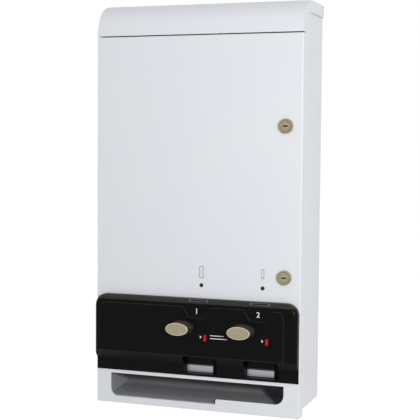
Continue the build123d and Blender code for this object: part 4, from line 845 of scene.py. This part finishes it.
detailed_fasteners("panel_screws", "panel_screw_heads", "door", lambda spots: (0, 1, 0))
detailed_fasteners("mech_screws", "mech_screw_heads", "door", lambda spots: (0, 1, 0))
detailed_fasteners("magazine_screws", "magazine_screw_heads", "cabinet", lambda spots: (0, -1, 0))
detailed_fasteners("tray_and_chute_screws", "tray_and_chute_screw_heads", "cabinet", tray_or_chute)


# %% [markdown]
# Hinge rivets
#
# The hinge leaf is riveted on, because a rivet's low dome clears the other leaf when the door shuts. The same
# measuring gives the grip, and both ends get a dome.

# %% Rivets
RIVET_SHANK = 1.5 * MM


def rivet_sizes(spots):
    """Seat and grip of a rivet along X: the heads are as far apart as the widest rings."""
    radius = np.hypot(spots[:, 1] - spots[:, 1].mean(), spots[:, 2] - spots[:, 2].mean())
    rims = spots[radius > radius.max() * RIM_SHARE][:, 0]
    middle = (spots.min(0) + spots.max(0)) / 2
    seat = rims[rims < middle[0]].max()
    grip_end = rims[rims > middle[0]].min()
    return {"place": [seat, middle[1], middle[2]], "Head radius": radius.max(),
            "Head height": seat - spots[:, 0].min(), "Shank radius": RIVET_SHANK,
            "Shank length": grip_end - seat}


rivets = [rivet_sizes(spots) for spots in loose_solids("hinge_rivets")]
rivet_piece = baked("hinge_rivet_domes", [rivet["place"] for rivet in rivets], [(-1, 0, 0)] * len(rivets),
                    domed_rivet, rivets[0], zinc)
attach(rivet_piece, "cabinet")
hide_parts("hinge_rivets")
print("rivets", len(rivets), "faces", len(rivet_piece.data.polygons))


# %% [markdown]
# Return springs
#
# A compression spring has closed ends: the last turns lie close together so that it stands square. The tree
# winds a spiral, moves its points so that the pitch tightens towards both ends, and runs a round wire along
# it. In motion the spring shortens between the button and its bush.

# %% Springs
SPRING_SIZES = ("Coil radius", "Wire radius", "Turns", "Length")


def spring_group():
    """Round wire along a spiral whose turns close up towards both ends."""
    tree, start = start_group("compression_spring", SPRING_SIZES)
    length, coil = start.outputs["Length"], start.outputs["Coil radius"]
    spiral = add(tree, "GeometryNodeCurveSpiral",
                 {"Resolution": 40, "Rotations": start.outputs["Turns"], "Start Radius": coil,
                  "End Radius": coil, "Height": length})
    where = add(tree, "ShaderNodeSeparateXYZ", {0: add(tree, "GeometryNodeInputPosition")})
    share = add(tree, "ShaderNodeMath", {0: where.outputs["Z"], 1: length}, operation="DIVIDE")
    eased = add(tree, "ShaderNodeMapRange", {"Value": share}, interpolation_type="SMOOTHSTEP")
    blend = add(tree, "ShaderNodeMix", {0: 0.3, 2: share, 3: eased}, data_type="FLOAT")
    height = add(tree, "ShaderNodeMath", {0: blend, 1: length}, operation="MULTIPLY")
    place = add(tree, "ShaderNodeCombineXYZ", {"X": where.outputs["X"], "Y": height, "Z": where.outputs["Y"]})
    wound = add(tree, "GeometryNodeSetPosition", {"Geometry": spiral, "Position": place})
    wire = add(tree, "GeometryNodeCurvePrimitiveCircle",
               {"Resolution": 12, "Radius": start.outputs["Wire radius"]}, mode="RADIUS")
    body = add(tree, "GeometryNodeCurveToMesh", {"Curve": wound, "Profile Curve": wire, "Fill Caps": True})
    copies = add(tree, "GeometryNodeInstanceOnPoints", {"Points": start.outputs["Places"], "Instance": body})
    return finish_group(tree, start, copies)


compression_spring = spring_group()
print("tree", compression_spring.name, "with", ", ".join(SPRING_SIZES))


# %% Wind the two springs
WIRE = 0.6 * MM
TURNS = 9.0
for mark in "12":
    node = "button_spring_" + mark
    low, high = (Vector(corner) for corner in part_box(node))
    tall = high.y - low.y
    start_at = ((low.x + high.x) / 2, low.y + WIRE, (low.z + high.z) / 2)
    sizes = dict(zip(SPRING_SIZES, ((high.x - low.x) / 2 - WIRE, WIRE, TURNS, tall - 2 * WIRE)))
    spring = baked("button_return_spring_" + mark, [start_at], [], compression_spring, sizes, wire_steel)
    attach(spring, "door")
    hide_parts(node)
    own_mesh(spring)
    print(node, "length", round(tall, 5), "faces", len(spring.data.polygons))


# %% [markdown]
# Floor and light
#
# A product photo on white has almost no shadows. A pale floor under the cabinet takes a faint one, and the
# world is pure white to the camera and to reflections, but dimmer where it lights the object. The key lamp
# stands on the right, a little above the cabinet's middle. It is small, so that it throws a fairly crisp
# shadow into the right end of the tray, as in the reference picture. A tall strip on the right and a wide one
# overhead add a little to the side and the hood. A colour then renders about as it is written.

# %% Floor and world
FLOOR_HALF, FLOOR_GAP, FLOOR_GREY = 6.0, 0.5 * MM, 0.75
WHITE_SHARE, GLOW = 0.88, 1.12
WORLD_LIGHT = 0.45
WHITE = (1, 1, 1, 1)


def seen_share(tree):
    """1 for rays of the camera, of gloss and of clear materials, which see the background's own white."""
    rays = add(tree, "ShaderNodeLightPath")
    seen = rays.outputs["Is Camera Ray"]
    for kind in ("Is Glossy Ray", "Is Transmission Ray"):
        seen = add(tree, "ShaderNodeMath", {0: seen, 1: rays.outputs[kind]}, operation="MAXIMUM")
    return seen


def pale_floor():
    mesh = bpy.data.meshes.new("studio_floor")
    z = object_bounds()[0][2] - FLOOR_GAP
    corners = [(x * FLOOR_HALF, y * FLOOR_HALF, z) for x, y in ((-1, -1), (1, -1), (1, 1), (-1, 1))]
    mesh.from_pydata(corners, [], [(0, 1, 2, 3)])
    floor = bpy.data.objects.new("studio_floor", mesh)
    bpy.context.scene.collection.objects.link(floor)
    material = bpy.data.materials.new("pale_studio_floor")
    material.use_nodes = True
    tree = material.node_tree
    tree.nodes.clear()
    part = add(tree, "ShaderNodeMath", {0: seen_share(tree), 1: WHITE_SHARE}, operation="MULTIPLY")
    matt = add(tree, "ShaderNodeBsdfDiffuse", {"Color": (FLOOR_GREY, FLOOR_GREY, FLOOR_GREY, 1.0)})
    glow = add(tree, "ShaderNodeEmission", {"Color": WHITE, "Strength": GLOW})
    both = add(tree, "ShaderNodeMixShader", {0: part, 1: matt, 2: glow})
    add(tree, "ShaderNodeOutputMaterial", {"Surface": both})
    mesh.materials.append(material)


def white_world():
    world = bpy.data.worlds.new("white_surroundings")
    bpy.context.scene.world = world
    world.use_nodes = True
    tree = world.node_tree
    tree.nodes.clear()
    dim = add(tree, "ShaderNodeBackground", {"Color": WHITE, "Strength": WORLD_LIGHT})
    white = add(tree, "ShaderNodeBackground", {"Color": WHITE, "Strength": 1.0})
    both = add(tree, "ShaderNodeMixShader", {0: seen_share(tree), 1: dim, 2: white})
    add(tree, "ShaderNodeOutputWorld", {"Surface": both})


pale_floor()
white_world()
bpy.context.scene.view_settings.view_transform = "Standard"
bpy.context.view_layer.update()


# %% Lamps
def soft_lamp(name, place, target, width, height, power):
    lamp = bpy.data.lights.new(name, "AREA")
    lamp.shape = "RECTANGLE"
    lamp.size = width
    lamp.size_y = height
    lamp.energy = power
    stand = bpy.data.objects.new(name, lamp)
    stand.location = place
    stand.rotation_euler = (target - Vector(place)).to_track_quat("-Z", "Y").to_euler()
    bpy.context.scene.collection.objects.link(stand)


middle = (shell_low + shell_high) / 2
soft_lamp("key_lamp", (1.62, -2.05, 0.32), middle, width=0.22, height=0.22, power=34)
soft_lamp("right_strip", (1.5, -0.75, 0.85), middle, width=0.2, height=1.2, power=1.0)
soft_lamp("overhead_strip", (-0.7, -1.2, 1.9), middle, width=1.6, height=0.25, power=3)


# %% [markdown]
# Camera
#
# The camera repeats the one that took the reference picture. Its place and turn were solved from corners of
# the cabinet, whose real size is known: it stands to the right of the cabinet, a little above its middle,
# tips down slightly, and uses a long lens, so that upright edges stay nearly parallel.

# %% Camera
CAMERA_PLACE = (0.6143, -1.8108, 0.0461)
CAMERA_TURN, CAMERA_DIP, CAMERA_ROLL = (math.radians(angle) for angle in (19.38, 3.49, 0.45))
SENSOR_MM, LENS_MM = 36.0, 93.5


def product_camera():
    camera = bpy.data.cameras.new("product_camera")
    camera.sensor_width = SENSOR_MM
    camera.lens = LENS_MM
    view = bpy.data.objects.new("product_camera", camera)
    turn = Matrix.Rotation(CAMERA_TURN, 4, "Z")
    nod = Matrix.Rotation(math.pi / 2 - CAMERA_DIP, 4, "X")
    roll = Matrix.Rotation(CAMERA_ROLL, 4, "Z")
    view.matrix_world = Matrix.Translation(CAMERA_PLACE) @ turn @ nod @ roll
    bpy.context.scene.collection.objects.link(view)
    bpy.context.scene.camera = view
    return view


view = product_camera()
print("camera at", [round(v, 3) for v in view.location])
